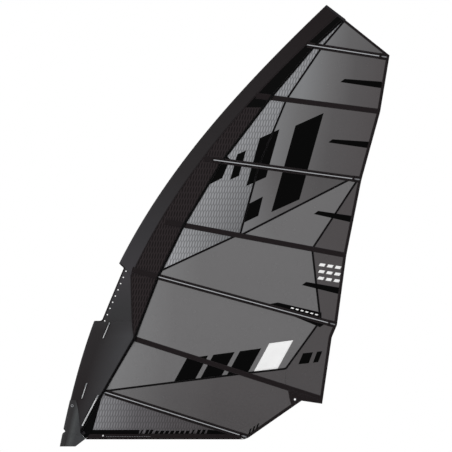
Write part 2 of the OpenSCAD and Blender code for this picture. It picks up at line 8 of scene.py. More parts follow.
import bmesh
import bpy
import numpy as np
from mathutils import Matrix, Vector


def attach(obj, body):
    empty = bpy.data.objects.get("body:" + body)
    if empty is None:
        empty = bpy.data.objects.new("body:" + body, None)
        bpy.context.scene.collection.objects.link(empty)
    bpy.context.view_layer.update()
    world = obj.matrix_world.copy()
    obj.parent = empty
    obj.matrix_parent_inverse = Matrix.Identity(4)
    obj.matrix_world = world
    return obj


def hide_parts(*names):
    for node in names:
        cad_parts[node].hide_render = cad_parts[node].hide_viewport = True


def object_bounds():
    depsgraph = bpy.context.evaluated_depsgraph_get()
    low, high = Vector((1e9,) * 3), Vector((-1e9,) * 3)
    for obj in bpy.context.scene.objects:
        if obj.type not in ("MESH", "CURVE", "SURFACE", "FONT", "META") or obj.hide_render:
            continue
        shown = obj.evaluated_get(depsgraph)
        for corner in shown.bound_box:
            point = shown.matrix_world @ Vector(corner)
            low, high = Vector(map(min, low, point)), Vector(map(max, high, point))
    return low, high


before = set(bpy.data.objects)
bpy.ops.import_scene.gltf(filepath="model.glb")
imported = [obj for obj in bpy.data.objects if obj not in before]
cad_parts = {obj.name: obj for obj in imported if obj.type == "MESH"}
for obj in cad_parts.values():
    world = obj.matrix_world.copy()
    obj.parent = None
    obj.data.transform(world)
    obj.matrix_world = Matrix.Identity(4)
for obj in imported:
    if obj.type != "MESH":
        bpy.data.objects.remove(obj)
cad_low, cad_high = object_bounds()


VIEW_WIDTH, VIEW_CENTRE, VIEW_DISTANCE, VIEW_REACH = 4.339, (1.5504, 2.1168), 8.0, 60


def camera():
    """Looks along +Y, square on to the sail's port face."""
    data = bpy.data.cameras.new("camera")
    data.type = "ORTHO"
    data.ortho_scale = VIEW_WIDTH
    data.clip_end = VIEW_REACH
    obj = bpy.data.objects.new("camera", data)
    obj.location = (VIEW_CENTRE[0], -VIEW_DISTANCE, VIEW_CENTRE[1])
    obj.rotation_euler = (math.radians(90), 0, 0)
    bpy.context.scene.collection.objects.link(obj)
    bpy.context.scene.camera = obj


camera()

# ---- Sizes shared with the CAD model ----
SAIL_H = 4.240
CAMBER_FOOT, CAMBER_HEAD, TWIST_HEAD = 0.130, 0.030, 0.140
DRAFT_PLACE = 0.4
CHORD_END_FOOT, CHORD_END_RISE = 2.380, 0.2
NOSE_R_FOOT, NOSE_R_HEAD, NOSE_ASPECT = 0.036, 0.021, 1.15
NOSE_CTRL = (-NOSE_ASPECT * NOSE_R_FOOT, 0.174, 0.457, 1.407, 2.514)
SIDE_CTRL, SIDE_Z0 = (0.625, 1.215, 2.740), 1.600
SEAM_HALF, BATTEN_ROOM, ROOM_LEN, TACK_ROOM, TACK_ROOM_LEN = 0.003, 0.013, 0.075, 0.022, 0.150
SEAM = np.array([(0.150, 0.130), (0.375, 0.525), (0.670, 1.035), (0.900, 1.630), (1.145, 2.125),
                 (1.515, 2.740), (1.980, 3.350), (2.400, 3.845), (2.680, 4.106)])
LEECH = np.array([(3.110, 3.735), (3.030, 3.215), (2.850, 2.560), (2.705, 1.835), (2.615, 1.165),
                  (2.480, 0.455), (1.765, 0.085)])
PEAK, HEAD, HEAD_FOOT = np.array((3.120, 3.755)), np.array((2.520, 4.235)), np.array((2.694, 4.095))
NOTCH, CLEW, CLEW_LOW = np.array((2.565, 1.050)), np.array((2.472, 0.410)), np.array((2.275, 0.440))
CLEW_EYE = np.array((2.212, 0.452))
FOOT_Z, BAND_Z = 0.068, 0.122
SKIN_T, PILLOW_DEPTH, PILLOW_FADE, PILLOW_END = 0.0005, 0.005, 0.25, 2.30
HOUSING_LEN, REAR_GAP, HOUSING_TOP = 0.058, 0.008, 0.0156
HANDS = ((-1, "port"), (1, "starboard"))


def mix(a, b, t):
    return a + (b - a) * t


def seam_end(n):
    return SEAM[8 - n]


def on_batten(n, share):
    """Point at a share of batten n, from the sleeve seam to the leech."""
    return mix(seam_end(n), LEECH[n - 1], share)


def batten_dir(n):
    run = LEECH[n - 1] - seam_end(n)
    return run / np.linalg.norm(run)


def batten_len(n):
    return float(np.linalg.norm(LEECH[n - 1] - seam_end(n)))


def batten_side(n):
    """-1 where the pocket lies on the port face, 1 on the starboard face."""
    return -1 if n % 2 else 1


# ---- The sail's surface ----
def nose_x(z):
    """The luff's front edge, a quartic curve up the sail."""
    t = z / SAIL_H
    u = 1 - t
    c = NOSE_CTRL
    return c[0] * u**4 + 4 * c[1] * u**3 * t + 6 * c[2] * u**2 * t**2 + 4 * c[3] * u * t**3 + c[4] * t**4


def side_x(z):
    """The line between the sleeve's tube and its side panel."""
    t = (z - SIDE_Z0) / (SAIL_H - SIDE_Z0)
    return SIDE_CTRL[0] * (1 - t) ** 2 + 2 * SIDE_CTRL[1] * (1 - t) * t + SIDE_CTRL[2] * t**2


def seam_x(z):
    """The seam between the sleeve and the body of the sail."""
    z = np.asarray(z, float)
    slope = (SEAM[1, 0] - SEAM[0, 0]) / (SEAM[1, 1] - SEAM[0, 1])
    below = SEAM[0, 0] + (z - SEAM[0, 1]) * slope
    return np.where(z < SEAM[0, 1], below, np.interp(z, SEAM[:, 1], SEAM[:, 0]))


def nose_r(z):
    return mix(NOSE_R_FOOT, NOSE_R_HEAD, z / SAIL_H)


def nose_len(z):
    return NOSE_ASPECT * nose_r(z)


def mast_x(z):
    return nose_x(z) + nose_len(z)


def pillow(x, z):
    """The cloth's slight bulge to leeward between two battens, nothing at a batten or at the seams."""
    deep = np.zeros_like(x)
    for n in range(1, 7):
        up, down = seam_end(n), seam_end(n + 1)
        lift_up, lift_down = batten_dir(n), batten_dir(n + 1)
        z_up = up[1] + (x - up[0]) * lift_up[1] / lift_up[0]
        z_down = down[1] + (x - down[0]) * lift_down[1] / lift_down[0]
        share = (z - z_down) / np.maximum(z_up - z_down, 1e-6)
        deep += np.where((share > 0) & (share < 1), np.sin(np.pi * np.clip(share, 0, 1)) ** 2, 0)
    to_leech = PILLOW_END + CHORD_END_RISE * z - x
    inside = np.clip((x - seam_x(z)) / PILLOW_FADE, 0, 1) * np.clip(to_leech / PILLOW_FADE, 0, 1)
    return PILLOW_DEPTH * deep * inside


def sail_y(x, z):
    x, z = np.asarray(x, float), np.asarray(z, float)
    s = (x - mast_x(z)) / (CHORD_END_FOOT + CHORD_END_RISE * z - mast_x(z))
    tall = np.maximum(z, 0) / SAIL_H
    draft = mix(CAMBER_FOOT, CAMBER_HEAD, tall**1.5)
    fore = 1 - (1 - s / DRAFT_PLACE) ** 2
    after = 1 - ((s - DRAFT_PLACE) / (1 - DRAFT_PLACE)) ** 2
    profile = np.where(s <= 0, 0, np.where(s < DRAFT_PLACE, fore, after))
    return -draft * profile - TWIST_HEAD * tall**2 * np.maximum(s, 0) ** 2 - pillow(x, z)


def hump(z, at, length):
    return np.exp(-(((z - at) / length) ** 2))


def sleeve_half(x, z, inset=0.0):
    """Half the sleeve's thickness: a rounded nose, then flanks that close on the seam."""
    room = BATTEN_ROOM * (hump(z, SEAM[2, 1], ROOM_LEN) + hump(z, SEAM[1, 1], ROOM_LEN))
    room = room + TACK_ROOM * hump(z, 0, TACK_ROOM_LEN)
    d = x - nose_x(z) - inset
    r, a, tail = nose_r(z) - inset, nose_len(z) - inset, SEAM_HALF + room - inset
    c = np.maximum(seam_x(z) - nose_x(z), a + 0.040)
    round_part = r * np.sqrt(np.clip(1 - (1 - np.clip(d / a, 0, 1)) ** 2, 0, 1))
    flank = np.maximum(mix(r, tail, np.clip((d - a) / (c - a), 0, 1)), 0.0004)
    return np.where(d <= 0, 0, np.where(d < a, round_part, flank))


# ---- Grids of points ----
def along(path, t):
    """Points at shares t of a path, evenly spaced by its points."""
    path = np.asarray(path, float)
    s = np.clip(t, 0, 1) * (len(path) - 1)
    i = np.minimum(s.astype(int), len(path) - 2)
    return mix(path[i], path[i + 1], (s - i)[:, None])


def between(first, second, rows, cols, power=1.0):
    """Grid of points from one path to another."""
    t, s = np.linspace(0, 1, rows + 1), np.linspace(0, 1, cols + 1) ** power
    return mix(along(first, t)[:, None], along(second, t)[:, None], s[None, :, None])


def resample(path, step):
    path = np.asarray(path, float)
    reach = np.concatenate([[0], np.cumsum(np.linalg.norm(np.diff(path, axis=0), axis=1))])
    at = np.linspace(0, reach[-1], max(int(round(reach[-1] / step)), 2) + 1)
    return np.stack([np.interp(at, reach, path[:, k]) for k in (0, 1)], -1)


def beside(path, offsets, step=0.02):
    """Grid of points beside a line: one row per step, one column per offset to its left."""
    points = resample(path, step)
    run = np.gradient(points, axis=0)
    run /= np.linalg.norm(run, axis=1)[:, None]
    left = np.stack([-run[:, 1], run[:, 0]], -1)
    return points[:, None] + left[:, None] * np.asarray(offsets, float)[None, :, None]


def on_sail(flat, off):
    """Points lifted off the sail's mid surface by off, towards +Y."""
    return np.stack([flat[..., 0], sail_y(flat[..., 0], flat[..., 1]) + off, flat[..., 1]], -1)


def on_face(flat, side, off):
    """Points on one face of the sail, lifted outwards by off."""
    return on_sail(flat, side * off)


def on_sleeve(flat, side, off):
    """Points on one side of the sleeve, lifted outwards by off."""
    x, z = flat[..., 0], flat[..., 1]
    return np.stack([x, sail_y(x, z) + side * (sleeve_half(x, z) + off), z], -1)


# ---- Meshes ----
def make_object(name, verts, faces, material, smooth):
    mesh = bpy.data.meshes.new(name)
    mesh.from_pydata(verts, [], faces)
    mesh.polygons.foreach_set("use_smooth", smooth)
    for m in material if isinstance(material, (list, tuple)) else [material]:
        mesh.materials.append(m)
    mesh.update()
    obj = bpy.data.objects.new(name, mesh)
    bpy.context.scene.collection.objects.link(obj)
    return obj


def place(obj, replaces=(), body="root"):
    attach(obj, body)
    if replaces:
        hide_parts(*replaces)
    return obj


def shell_faces(front, back):
    """Faces of the closed skin between two grids, with the front's normals pointing away from the back."""
    rows, cols = front.shape[:2]
    a = front[:-1, 1:] - front[:-1, :-1]
    b = front[1:, :-1] - front[:-1, :-1]
    outward = np.sum(np.cross(a, b) * (front[:-1, :-1] - back[:-1, :-1]))
    index = np.arange(rows * cols).reshape(rows, cols)
    n = rows * cols
    quads = np.stack([index[:-1, :-1], index[:-1, 1:], index[1:, 1:], index[1:, :-1]], -1).reshape(-1, 4)
    loop = np.concatenate([index[0, :-1], index[:-1, -1], index[-1, :0:-1], index[:0:-1, 0]])
    after = np.roll(loop, -1)
    rim = np.stack([loop, loop + n, after + n, after], -1)
    faces = np.concatenate([quads, quads[:, ::-1] + n, rim])
    return (faces if outward > 0 else faces[:, ::-1]), len(quads)


def shell(name, front, back, material, bands=None):
    """A closed skin between two grids.

    bands numbers the material of each column; the last row and the rim have the first one.
    """
    faces, count = shell_faces(front, back)
    verts = np.concatenate([front.reshape(-1, 3), back.reshape(-1, 3)])
    smooth = np.arange(len(faces)) < 2 * count
    obj = make_object(name, verts.tolist(), faces.tolist(), material, smooth)
    if bands is not None:
        cells = np.tile(np.asarray(bands), front.shape[0] - 1)
        cells[-len(bands):] = 0
        rim = np.zeros(len(faces) - 2 * count, int)
        obj.data.polygons.foreach_set("material_index", np.concatenate([cells, cells, rim]))
    return obj


def joined(name, parts, material):
    """One object from several grids, each a (front, back) pair."""
    verts, faces, smooth, base = [], [], [], 0
    for front, back in parts:
        f, count = shell_faces(front, back)
        verts.append(np.concatenate([front.reshape(-1, 3), back.reshape(-1, 3)]))
        faces.append(f + base)
        smooth.append(np.arange(len(f)) < 2 * count)
        base += 2 * front.shape[0] * front.shape[1]
    return make_object(name, np.concatenate(verts).tolist(), np.concatenate(faces).tolist(), material,
                       np.concatenate(smooth))


def declare_sheet(obj, *grids, unrolled=False):
    """Works out the sides of the smallest rectangle round the cloth as cut, and keeps nothing of it."""
    if unrolled:
        sides = [np.linalg.norm(np.diff(grids[0], axis=k), axis=-1).sum(axis=k).max() for k in (1, 0)]
    else:
        points = np.concatenate([g.reshape(-1, 3)[:, [0, 2]] for g in grids])
        sides = []
        for angle in np.radians(np.arange(0, 90, 1.0)):
            u = points @ (math.cos(angle), math.sin(angle))
            v = points @ (-math.sin(angle), math.cos(angle))
            box = [np.ptp(u), np.ptp(v)]
            sides = box if not sides or box[0] * box[1] < sides[0] * sides[1] else sides


def sheet_piece(name, front, back, material, cut, replaces=(), unrolled=False):
    """A closed skin of cloth, placed; its flat size is worked out from the grid cut."""
    made = place(shell(name, front, back, material), replaces)
    declare_sheet(made, cut, unrolled=unrolled)
    return made


# ---- Materials ----
def srgb(code, gloss=0.0):
    """Linear colour of a hex code, less what a glossy surface adds to it."""
    parts = [int(code[i:i + 2], 16) / 255 for i in (1, 3, 5)]
    linear = [c / 12.92 if c <= 0.04045 else ((c + 0.055) / 1.055) ** 2.4 for c in parts]
    return tuple(max(c - gloss, 0.001) for c in linear) + (1.0,)


class Shader:
    """A node material round one Principled shader, with its patterns in Object coordinates."""

    def __init__(self, name, rough=0.5, specular=0.5, metal=0.0, coat=0.0, sheen=0.0):
        self.mat = bpy.data.materials.new(name)
        self.mat.use_nodes = True
        self.tree = self.mat.node_tree
        self.main = self.tree.nodes["Principled BSDF"]
        self.main.inputs["Roughness"].default_value = rough
        self.main.inputs["Specular IOR Level"].default_value = specular
        self.main.inputs["Metallic"].default_value = metal
        self.main.inputs["Coat Weight"].default_value = coat
        self.main.inputs["Sheen Weight"].default_value = sheen
        self.place = self.tree.nodes.new("ShaderNodeTexCoord").outputs["Object"]

    def put(self, socket, value):
        if isinstance(value, bpy.types.NodeSocket):
            self.tree.links.new(value, socket)
        else:
            socket.default_value = value

    def node(self, kind, inputs, **settings):
        made = self.tree.nodes.new("ShaderNode" + kind)
        for key, value in settings.items():
            setattr(made, key, value)
        for key, value in inputs.items():
            self.put(made.inputs[key], value)
        return made

    def calc(self, operation, a, b=0.0, c=0.0):
        return self.node("Math", {0: a, 1: b, 2: c}, operation=operation).outputs[0]

    def part(self, axis):
        return self.node("SeparateXYZ", {0: self.place}).outputs[axis]

    def noise(self, size, detail=3.0, stretch=(1, 1, 1)):
        """Noise whose features measure about size, stretched along the axes."""
        scaled = self.node("Mapping", {"Vector": self.place, "Scale": tuple(1 / s for s in stretch)})
        wanted = {"Vector": scaled.outputs[0], "Scale": 1 / size, "Detail": detail}
        return self.node("TexNoise", wanted).outputs[0]

    def stripes(self, period, direction):
        """0 to 1 stripes across a direction."""
        run = self.node("VectorMath", {0: self.place, 1: tuple(direction)},
                        operation="DOT_PRODUCT").outputs["Value"]
        wave = self.calc("SINE", self.calc("MULTIPLY", run, 2 * math.pi / period))
        return self.calc("MULTIPLY_ADD", wave, 0.5, 0.5)

    def gradient(self, start, end):
        """0 at start and beyond, 1 at end, along the line between two points (x, z)."""
        run = Vector((end[0] - start[0], 0, end[1] - start[1]))
        shifted = self.node("VectorMath", {0: self.place, 1: (start[0], 0, start[1])},
                            operation="SUBTRACT")
        share = self.node("VectorMath", {0: shifted.outputs[0], 1: tuple(run / run.length_squared)},
                          operation="DOT_PRODUCT").outputs["Value"]
        return self.node("Clamp", {0: share}).outputs[0]

    def ramp(self, share, stops):
        made = self.node("ValToRGB", {0: share})
        while len(made.color_ramp.elements) < len(stops):
            made.color_ramp.elements.new(0.5)
        for element, (at, colour) in zip(made.color_ramp.elements, stops):
            element.position = at
            element.color = colour
        return made.outputs[0]

    def blend(self, a, b, share, mode="MIX"):
        made = self.node("Mix", {0: share}, data_type="RGBA", blend_type=mode)
        self.put(made.inputs[6], a)
        self.put(made.inputs[7], b)
        return made.outputs[2]

    def colour(self, value, spread=0.06, size=0.25):
        """Base colour with a soft, wide variation."""
        shade = self.calc("MULTIPLY_ADD", self.noise(size), 2 * spread, 1 - spread)
        grey = self.node("CombineColor", {0: shade, 1: shade, 2: shade}).outputs[0]
        self.put(self.main.inputs["Base Color"], self.blend(value, grey, 1.0, "MULTIPLY"))

    def roughness(self, low, high, size=0.05):
        self.put(self.main.inputs["Roughness"], self.calc("MULTIPLY_ADD", self.noise(size), high - low, low))

    def bump(self, height, depth):
        made = self.node("Bump", {"Height": height, "Distance": depth, "Strength": 1.0})
        self.put(self.main.inputs["Normal"], made.outputs[0])

    def weave(self, period=0.0016, depth=0.00025):
        """Warp and weft threads in the sail's plane, as a bump; returns where they cross, which callers
        lighten as a painted highlight.
        """
        warp, weft = self.stripes(period, (1, 0, 0)), self.stripes(period, (0, 0, 1))
        self.bump(self.calc("MAXIMUM", warp, weft), depth)
        return self.calc("MULTIPLY", warp, weft)


FILM_GLOSS = 0.028


def film(name, stops):
    """Tinted monofilm; stops are (point, hex) pairs along the chord, giving the film's tint with painted
    shade that darkens it aft.
    """
    s = Shader(name, specular=0.45, coat=0.15)
    points, codes = zip(*stops)
    # The ramp paints shade: each panel is lighter at its luff end and darker towards the leech.
    share = s.gradient(points[0], points[-1])
    full = np.linalg.norm(np.subtract(points[-1], points[0]))
    ramp = s.ramp(share, [(float(np.linalg.norm(np.subtract(p, points[0])) / full), srgb(c, FILM_GLOSS))
                          for p, c in zip(points, codes)])
    crossing = s.calc("MAXIMUM", s.stripes(0.0085, (0.8, 0, 0.6)), s.stripes(0.0085, (0.8, 0, -0.6)))
    threads = s.calc("POWER", crossing, 24)
    s.colour(s.blend(ramp, srgb("#8a8a8c"), s.calc("MULTIPLY", threads, 0.03)), spread=0.03, size=0.4)
    s.roughness(0.16, 0.34, 0.09)
    s.bump(s.calc("ADD", s.noise(0.03, 2), s.calc("MULTIPLY", threads, 0.3)), 0.0002)
    return s.mat


YARN_ROW, YARN_PERIOD, YARN_LEAN = 0.058, 0.0262, 0.24


def yarn_marks(s):
    """Rows of short upright strokes that lean aft and fade at their ends, 0 to 1."""
    place_in_row = s.calc("SUBTRACT", s.calc("FRACT", s.calc("MULTIPLY", s.part("Z"), 1 / YARN_ROW)), 0.5)
    run = s.calc("MULTIPLY_ADD", place_in_row, -YARN_LEAN * YARN_ROW, s.part("X"))
    wave = s.calc("SINE", s.calc("MULTIPLY", run, 2 * math.pi / YARN_PERIOD))
    edge = s.calc("POWER", s.calc("ABSOLUTE", s.calc("MULTIPLY", place_in_row, 2.0)), 4.0)
    fade = s.calc("MULTIPLY_ADD", edge, -0.6, 1.0)
    return s.calc("MULTIPLY", s.calc("MULTIPLY_ADD", wave, 0.5, 0.5), fade)


def shaded(s, base, mark, depth):
    """Base colour made lighter and darker by a pattern of mean 0.44."""
    shade = s.calc("MULTIPLY_ADD", mark, depth, 1 - 0.44 * depth)
    grey = s.node("CombineColor", {0: shade, 1: shade, 2: shade}).outputs[0]
    return s.blend(base, grey, 1.0, "MULTIPLY")


def scrim(name, stops, depth=0.85):
    """Laminate with a yarn scrim; stops are evenly spaced (point, hex) pairs, with painted shade that
    darkens it aft.
    """
    s = Shader(name, specular=0.4)
    points, codes = zip(*stops)
    # The ramp paints shade: lighter towards the luff, darker aft.
    ramp = s.ramp(s.gradient(points[0], points[-1]),
                  [(i / (len(codes) - 1), srgb(c, FILM_GLOSS)) for i, c in enumerate(codes)])
    mark = yarn_marks(s)
    fine = s.calc("MAXIMUM", s.stripes(0.004, (1, 0, 0)), s.stripes(0.004, (0, 0, 1)))
    s.colour(shaded(s, ramp, mark, depth), spread=0.03)
    s.roughness(0.25, 0.45)
    s.bump(s.calc("ADD", s.calc("MULTIPLY", mark, 1.5), fine), 0.00025)
    return s.mat


def cloth(name, code, rough=0.62, period=0.0016, specular=0.08, spread=0.08):
    """Plain woven cloth, nearly matt."""
    s = Shader(name, specular=specular)
    threads = s.weave(period)
    base = srgb(code, 0.08 * specular)
    # The lighter colour at the thread crossings is a painted highlight on the weave.
    s.colour(s.blend(base, srgb("#4a484a"), s.calc("MULTIPLY", threads, 0.05)), spread)
    s.roughness(rough - 0.08, rough + 0.1)
    return s.mat


def sleeve_cloth():
    """Coated black sleeve cloth with painted light: paler around mid-height and darker towards head and
    foot, and low down a painted shade that darkens it towards the nose.
    """
    s = Shader("sleeve_cloth", specular=0.1)
    # Painted light up the luff: the black cloth is palest around mid-height.
    up = s.gradient((0, 0), (0, SAIL_H))
    painted_light_stops = [(0.12, "#2c292a"), (0.26, "#302e2f"), (0.30, "#39393a"), (0.38, "#413f42"), (0.485, "#39383a"),
              (0.62, "#302e2f"), (0.97, "#242021")]
    base = s.ramp(up, [(at, srgb(code, 0.008)) for at, code in painted_light_stops])
    # Painted shade low down: darker round the nose, paler towards the seam.
    low = s.ramp(up, [(0.25, (1, 1, 1, 1)), (0.31, (0, 0, 0, 1))])
    aft = s.calc("MULTIPLY", s.gradient((0.17, 0.55), (0.40, 0.47)), low)
    nose_shaded = s.blend(base, srgb("#434345", 0.008), aft)
    # The lighter thread crossings are a painted highlight on the weave.
    threads = s.weave(0.0018)
    s.colour(s.blend(nose_shaded, srgb("#555355"), s.calc("MULTIPLY", threads, 0.04)), 0.05, 0.35)
    s.roughness(0.48, 0.62)
    return s.mat


def sleeve_mesh():
    """Dark side cloth with rows of upright ribs, plain black near the head."""
    s = Shader("sleeve_mesh", specular=0.05)
    mark = yarn_marks(s)
    top = s.gradient((0, 3.252), (0, 3.258))
    s.colour(s.blend(shaded(s, srgb("#2b2728", 0.006), mark, -1.05), srgb("#020202"), top), 0.05)
    s.roughness(0.5, 0.66)
    fine = s.calc("MAXIMUM", s.stripes(0.003, (1, 0, 0)), s.stripes(0.003, (0, 0, 1)))
    s.bump(s.calc("ADD", s.calc("MULTIPLY", mark, -1.5), fine), 0.0003)
    return s.mat


def neoprene():
    """Matt neoprene with a fine knitted face, and a painted highlight that makes it paler where it bulges.
    """
    s = Shader("neoprene", specular=0.12, sheen=0.05)
    # Painted highlight: the ramp is palest across the bulge and darker at the nose and aft.
    middle = s.gradient((0.0, 0.0), (0.085, -0.02))
    ramp = s.ramp(middle, [(0.0, srgb("#333233")), (0.45, srgb("#4a4c4d")), (1.0, srgb("#3d3e40"))])
    knit = s.calc("MULTIPLY", s.stripes(0.0011, (0.7, 0, 0.7)), s.stripes(0.0011, (0.7, 0, -0.7)))
    s.colour(ramp, 0.09, 0.08)
    s.roughness(0.72, 0.86)
    s.bump(s.calc("MULTIPLY_ADD", s.noise(0.03), 2.0, knit), 0.0003)
    return s.mat


def webbing(name, code):
    """Ribbed polyester webbing."""
    s = Shader(name, specular=0.14)
    ribs = s.stripes(0.0022, (0.5, 0, 0.86))
    s.colour(s.blend(srgb(code, 0.004), srgb("#454346"), s.calc("MULTIPLY", ribs, 0.14)), 0.08, 0.02)
    s.roughness(0.6, 0.75)
    s.bump(ribs, 0.0004)
    return s.mat


def plastic(name, code, rough=0.4, specular=0.35, gloss=0.02, size=0.004):
    """Moulded plastic with a fine spark-eroded grain and slight colour drift."""
    s = Shader(name, specular=specular)
    s.colour(srgb(code, gloss), 0.05, 0.03)
    s.roughness(rough - 0.08, rough + 0.08, size)
    s.bump(s.noise(size / 4, 2), 0.0001)
    return s.mat


def metal(name, code, rough=0.3, brush=(1, 1, 14)):
    """Brushed or polished metal, with scratches along one way and duller handling marks."""
    s = Shader(name, metal=1.0)
    lines = s.noise(0.0012, 2, brush)
    s.colour(srgb(code), 0.07, 0.02)
    worn = s.calc("MULTIPLY_ADD", s.noise(0.012), 0.16, rough - 0.1)
    s.put(s.main.inputs["Roughness"], s.calc("MULTIPLY_ADD", lines, 0.1, worn))
    s.bump(lines, 0.00006)
    return s.mat


def ink(name, code, specular=0.03):
    """Printed or laid-on vinyl film."""
    s = Shader(name, specular=specular)
    s.colour(srgb(code), 0.05, 0.12)
    s.roughness(0.4, 0.55)
    s.bump(s.noise(0.004, 2), 0.0001)
    return s.mat


TAPE = cloth("edge_tape", "#231f20", period=0.0014)
BLACK = cloth("seam_tape", "#060506", period=0.0014, specular=0.03)
# Pale stripe for the pocket crowns: partly the batten seen through, partly a painted highlight along the
# tube's bulge.
SILVER_AND_HIGHLIGHT = cloth("pocket_silver_and_highlight", "#abadb0", rough=0.5, specular=0.3, spread=0.04)
THREAD = cloth("thread_grey", "#4a484a", period=0.0006)
LIGHT_THREAD = cloth("thread_light", "#8d8d90", period=0.0006)
PRINT = ink("print_black", "#020202")
WHITE = ink("print_white", "#f6f6f6")
PATCH = cloth("patch_cloth", "#050505", period=0.002, specular=0.03)
CLEW_CLOTH = cloth("clew_cloth", "#231f20", period=0.002)
WEB = webbing("webbing", "#242225")

# ---- Body panels ----
SCRIM_PATH = [on_batten(4, 0.345), on_batten(3, 0.262), on_batten(2, 0.143), on_batten(1, 0.10), HEAD_FOOT]
WINDOW_FRONT, WINDOW_CORNER = np.array((0.930, 1.690)), on_batten(4, 0.33)
DARK_CORNER, LEECH_CORNER_3 = on_batten(3, 0.93), on_batten(3, 0.975)
LEECH_CORNER_4, LEECH_CORNER_5 = on_batten(4, 0.79), on_batten(5, 0.908)
KNEE, KNEE_BATTEN = np.array((2.124, 0.747)), on_batten(6, 0.577)
PATCH_LOW, PATCH_HIGH = np.array((2.190, 0.381)), np.array((2.143, 0.562))


def upper_tones(n_low, n_high):
    """Film colours from the scrim to the leech between two battens, darkened aft by painted shade."""
    front = mix(on_batten(n_low, 0.14), on_batten(n_high, 0.12), 0.5)
    aft = mix(on_batten(n_low, 1), on_batten(n_high, 1), 0.5)
    return [(front, "#7c7d7f"), (mix(front, aft, 0.32), "#676667"), (mix(front, aft, 0.62), "#545253"),
            (aft, "#4e4a4b")]


# The film and scrim stops below paint shade: most panels are lighter towards the luff and darker aft.
# Each panel: CAD node, slot, material, and its two paths with rows and columns between them.
PANELS = [
    ("head_panel", "dark_film",
     film("film_head", [(on_batten(1, 0.1), "#757577"), (on_batten(1, 0.45), "#605f60"),
                        (on_batten(1, 1), "#565455")]),
     [on_batten(1, 0.10), LEECH[0]], [HEAD_FOOT, PEAK], 24, 18),
    ("luff_scrim", "scrim", scrim("scrim_luff", [((1.30, 2.70), "#949598"), ((2.05, 2.20), "#59595b")]),
     [on_batten(4, 0), on_batten(3, 0), on_batten(2, 0), on_batten(1, 0), SEAM[8]], SCRIM_PATH, 96, 20),
    ("upper_film", "dark_film", film("film_upper", upper_tones(2, 1)),
     [on_batten(2, 0.143), on_batten(2, 1)], [on_batten(1, 0.10), on_batten(1, 1)], 48, 26),
    ("middle_film", "dark_film", film("film_middle", upper_tones(3, 2)),
     [on_batten(3, 0.262), on_batten(3, 1)], [on_batten(2, 0.143), on_batten(2, 1)], 56, 30),
    ("dark_film", "dark_film",
     film("film_dark", [((1.62, 2.35), "#747476"), ((2.05, 2.42), "#5b595a"), ((2.45, 2.50), "#504e4f")]),
     [on_batten(4, 0.346), DARK_CORNER - (0.006, 0.006)], [on_batten(3, 0.262), DARK_CORNER], 56, 26),
    ("window_upper", "clear_film",
     film("film_window_upper", [((1.75, 2.0), "#727273"), ((2.0, 2.1), "#6c6b6c")]),
     [on_batten(4, 0.346), LEECH_CORNER_4], [DARK_CORNER, LEECH_CORNER_3], 44, 30),
    ("leech_panel_upper", "leech_film",
     film("film_leech_upper", [((2.3, 2.0), "#4c494a"), ((2.8, 2.0), "#4b4748")]),
     [on_batten(4, 0.79), on_batten(4, 1)], [LEECH_CORNER_3, on_batten(3, 1)], 14, 30),
    ("scrim_triangle", "scrim", scrim("scrim_low", [((0.95, 1.95), "#97989b"), ((1.62, 2.0), "#656668")]),
     [WINDOW_FRONT, WINDOW_CORNER - (0.004, 0.002)], [on_batten(4, 0), WINDOW_CORNER], 32, 20),
    ("window_main", "clear_film",
     film("film_window_main", [((0.88, 1.45), "#787879"), ((1.30, 1.50), "#6c6b6c"),
                               ((2.3, 1.5), "#6b6a6b")]),
     [on_batten(5, 0), on_batten(5, 0.3), LEECH_CORNER_5],
     [WINDOW_FRONT, WINDOW_CORNER, LEECH_CORNER_4], 80, 30),
    ("leech_panel_middle", "leech_film",
     film("film_leech_middle", [((2.3, 1.5), "#4c494a"), ((2.8, 1.5), "#4b4748")]),
     [LEECH_CORNER_5, on_batten(5, 1)], [LEECH_CORNER_4, on_batten(4, 1)], 14, 30),
    ("window_lower", "clear_film",
     film("film_window_lower", [((0.62, 0.95), "#7a7a7b"), ((1.05, 0.90), "#6d6c6d"),
                                ((2.3, 0.9), "#6b6a6b")]),
     [on_batten(6, 0), KNEE_BATTEN, KNEE],
     [on_batten(5, 0), on_batten(5, 0.45), on_batten(5, 0.907)], 84, 26),
    ("window_foot", "clear_film",
     film("film_window_foot", [((0.50, 0.85), "#7b7b7c"), ((0.95, 0.80), "#6c6b6c"),
                               ((1.6, 0.7), "#6b6a6b")]),
     [on_batten(7, 0) + (0.010, 0.008), on_batten(7, 0) + (0.016, 0.010)],
     [on_batten(6, 0), on_batten(6, 0.577)], 60, 24),
    ("film_foot", "leech_film",
     film("film_foot", [((0.50, 0.55), "#6a696a"), ((0.95, 0.42), "#595758"), ((1.45, 0.40), "#4f4c4d"),
                        ((2.2, 0.4), "#4e4b4c")]),
     [on_batten(7, 0), on_batten(7, 0.62), on_batten(7, 1), PATCH_LOW],
     [on_batten(7, 0) + (0.020, 0.010), on_batten(6, 0.577), on_batten(6, 0.70), PATCH_HIGH], 96, 24),
    ("foot_scrim", "scrim",
     scrim("scrim_foot", [((0.33, 0.42), "#808083"), ((0.70, 0.32), "#5e5c5f"), ((1.07, 0.22), "#504d4f"),
                          ((1.44, 0.12), "#494648")], depth=0.8),
     [(0.244, BAND_Z), on_batten(7, 0.916)], [on_batten(7, 0) - (0.010, 0.012), on_batten(7, 0)], 64, 24),
]
for node, slot, material, first, second, rows, cols in PANELS:
    flat = between(first, second, rows, cols)
    sheet_piece("cloth_" + node, on_sail(flat, -SKIN_T / 2), on_sail(flat, SKIN_T / 2), material,
                on_sail(flat, 0), [node])

